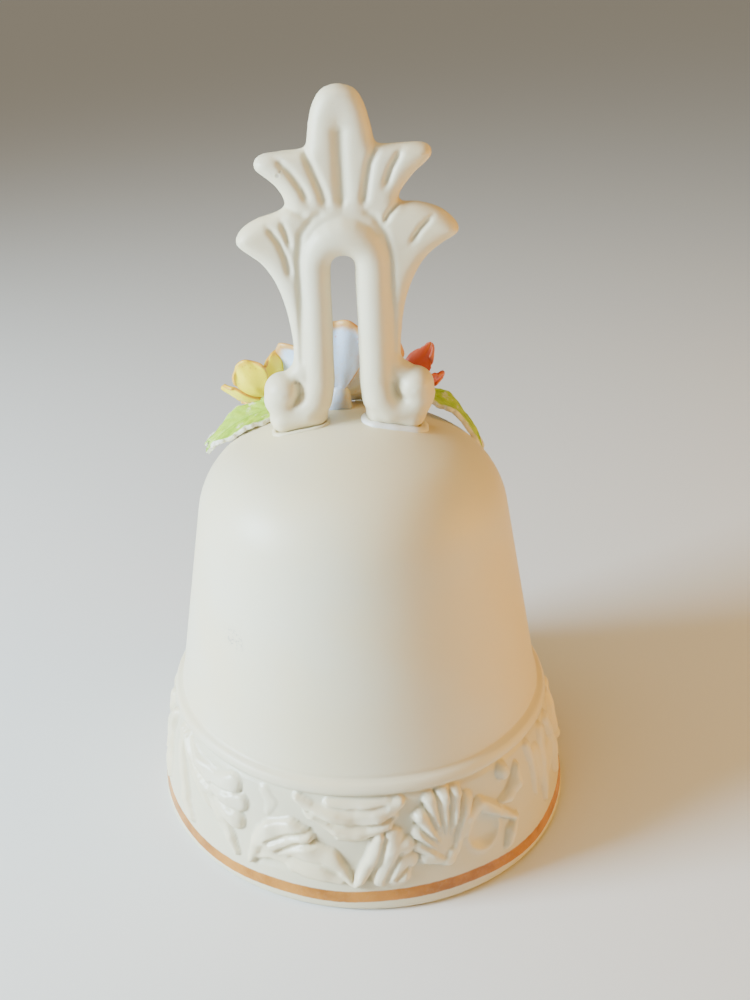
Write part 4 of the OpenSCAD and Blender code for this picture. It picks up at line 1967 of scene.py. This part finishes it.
@dataclass
class Clapper:
    """Lug, wire link, eye pin and bead under the crown."""

    bore_r: float = 0.65

    def build(self, bisque: bpy.types.Material) -> None:
        """Dresses the CAD wires and lug, and makes the bead.

        Args:
            bisque: The lug's finish.
        """
        wire = DrawnWire().make()
        for node, material in (("clapper_lug", bisque), ("wire_link", wire), ("eye_pin", wire)):
            self.dress(node, material)
        self.bead(ClearGlaze().make())

    def dress(self, node: str, material: bpy.types.Material) -> None:
        """Gives a CAD node its finish.

        Args:
            node: The node's name.
            material: The finish.
        """
        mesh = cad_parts[node].data
        if not mesh.materials:
            mesh.materials.append(material)
        for i in range(len(mesh.materials)):
            mesh.materials[i] = material
        log.info("%s: dressed with %s", node, material.name)

    def bead(self, glaze: bpy.types.Material) -> bpy.types.Object:
        """Spins the bead round its bore, with rounded lips.

        Args:
            glaze: The bead's finish.

        Returns:
            The bead.
        """
        box = NodeBox.of("clapper_bead")
        bead_r = box.high.x - box.middle.x
        start = math.asin((self.bore_r + 0.35) / bead_r)
        outside = []
        for i in range(49):
            a = start + (math.pi - 2 * start) * i / 48
            outside.append((bead_r * math.sin(a), bead_r * math.cos(a)))
        top = outside[0][1]
        lip = [(self.bore_r, top - 0.35), (self.bore_r + 0.1, top - 0.1)]
        section = lip + outside + [(r, -z) for r, z in reversed(lip)]
        bm = bmesh.new()
        ring = [bm.verts.new((r, 0.0, z + box.middle.z)) for r, z in section]
        edges = [bm.edges.new(pair) for pair in zip(ring, ring[1:] + ring[:1])]
        bmesh.ops.spin(
            bm, geom=ring + edges, cent=(0, 0, 0), axis=(0, 0, 1), dvec=(0, 0, 0),
            angle=math.tau, steps=96, use_merge=True, use_duplicate=False,
        )
        bmesh.ops.remove_doubles(bm, verts=bm.verts, dist=0.0005)
        bmesh.ops.recalc_face_normals(bm, faces=bm.faces)
        return Piece("bead_glazed", Body.BEAD, "bead_glaze", [glaze], ["clapper_bead"]).take(bm)


# --------------------------------------------------------------------------------------
# Studio
# --------------------------------------------------------------------------------------


@dataclass(frozen=True)
class Lamp:
    """A soft square light: its name, its place and side in metres, its power and its colour."""

    name: str
    place: Point
    side: float
    watts: float
    tint: Point


@dataclass
class Studio:
    """Pale floor, soft lights and the camera."""

    lamps: tuple[Lamp, ...] = (
        Lamp("key_left", (-0.50, -0.16, 0.24), 0.20, 11.0, (0.66, 0.85, 1.0)),
        Lamp("warm_right", (0.40, -0.06, 0.12), 0.22, 1.35, (1.0, 0.47, 0.0)),
        Lamp("top_soft", (-0.14, -0.06, 0.60), 0.36, 1.3, (1.0, 0.76, 0.40)),
    )
    target: Vector = field(default_factory=lambda: (CAD_BOX[0] + CAD_BOX[1]) / 2.0 - Vector((0, 0, 0.005)))
    floor_half: float = 60.0
    eye: Point = (0.0, -0.19276, 0.15735)
    heading: float = 6.318
    tilt: float = 22.903
    roll: float = -4.486
    lens: float = 39.6
    shift: tuple[float, float] = (0.1385, -0.056)

    def build(self) -> None:
        """Sets up the floor, the lights, the world and the camera."""
        self.floor()
        for lamp in self.lamps:
            self.hang(lamp)
        self.sun("front_soft", (-0.6, -0.3, 0.75), 0.60, (1.0, 0.90, 0.74))
        self.world(0.17)
        self.camera()

    def floor(self) -> None:
        """A wide pale floor."""
        bm = bmesh.new()
        bmesh.ops.create_grid(bm, x_segments=2, y_segments=2, size=self.floor_half)
        mesh = bpy.data.meshes.new("floor")
        bm.to_mesh(mesh)
        bm.free()
        kit = FinishKit("floor_paper")
        kit.set(Base_Color=rgb(0.80, 0.80, 0.79), Roughness=0.85)
        mesh.materials.append(kit.material)
        made = bpy.data.objects.new("floor", mesh)
        bpy.context.scene.collection.objects.link(made)

    def hang(self, lamp: Lamp) -> None:
        """Adds a lamp, aimed at the bell.

        Args:
            lamp: The lamp.
        """
        data = bpy.data.lights.new(lamp.name, "AREA")
        data.size = lamp.side
        data.energy = lamp.watts
        data.color = lamp.tint
        made = bpy.data.objects.new(lamp.name, data)
        bpy.context.scene.collection.objects.link(made)
        made.location = lamp.place
        aim = self.target - Vector(lamp.place)
        made.rotation_euler = aim.to_track_quat("-Z", "Y").to_euler()

    def sun(self, name: str, place: Point, strength: float, tint: Point) -> None:
        """Adds a very soft distant light that also keeps the far floor pale.

        Args:
            name: The light's name.
            place: The direction it comes from.
            strength: Its strength.
            tint: Its colour.
        """
        data = bpy.data.lights.new(name, "SUN")
        data.energy = strength
        data.angle = math.radians(70.0)
        data.color = tint
        made = bpy.data.objects.new(name, data)
        bpy.context.scene.collection.objects.link(made)
        made.rotation_euler = (-Vector(place)).to_track_quat("-Z", "Y").to_euler()

    def world(self, strength: float) -> None:
        """An even pale surround.

        Args:
            strength: Its brightness.
        """
        made = bpy.data.worlds.new("surround")
        made.use_nodes = True
        back = made.node_tree.nodes["Background"]
        back.inputs[0].default_value = rgb(1.0, 0.86, 0.62)
        back.inputs[1].default_value = strength
        bpy.context.scene.world = made

    def camera(self) -> None:
        """Looks down on the plain back from above, a hand's length away."""
        data = bpy.data.cameras.new("camera")
        data.lens = self.lens
        data.sensor_width = 36.0
        data.shift_x, data.shift_y = self.shift
        data.clip_start = 0.01
        made = bpy.data.objects.new("camera", data)
        made.matrix_world = (
            Matrix.Translation(self.eye)
            @ Matrix.Rotation(math.radians(self.heading), 4, "Z")
            @ Matrix.Rotation(math.radians(90.0 - self.tilt), 4, "X")
            @ Matrix.Rotation(math.radians(self.roll), 4, "Z")
        )
        bpy.context.scene.collection.objects.link(made)
        bpy.context.scene.camera = made


def main() -> None:
    """Builds the bell, its clapper and the studio."""
    logging.basicConfig(level=logging.INFO, format="%(name)s: %(message)s")
    Studio().build()
    bisque = Bisque("bisque_handle", pits=HANDLE_PITS).make()
    BellShell().build(ShellBisque().make())
    PalmetteHandle().build(bisque)
    slip = Bisque("slip_white", body=rgb(0.86, 0.84, 0.78), cool=rgb(0.84, 0.85, 0.82), roughness=0.4).make()
    FootSlip(-1, bead_r=0.34, half_x=5.1).build(bisque)
    FootSlip(1, bead_r=0.66).build(slip)
    Posy().build()
    Clapper().build(bisque)


if __name__ == "__main__":
    main()
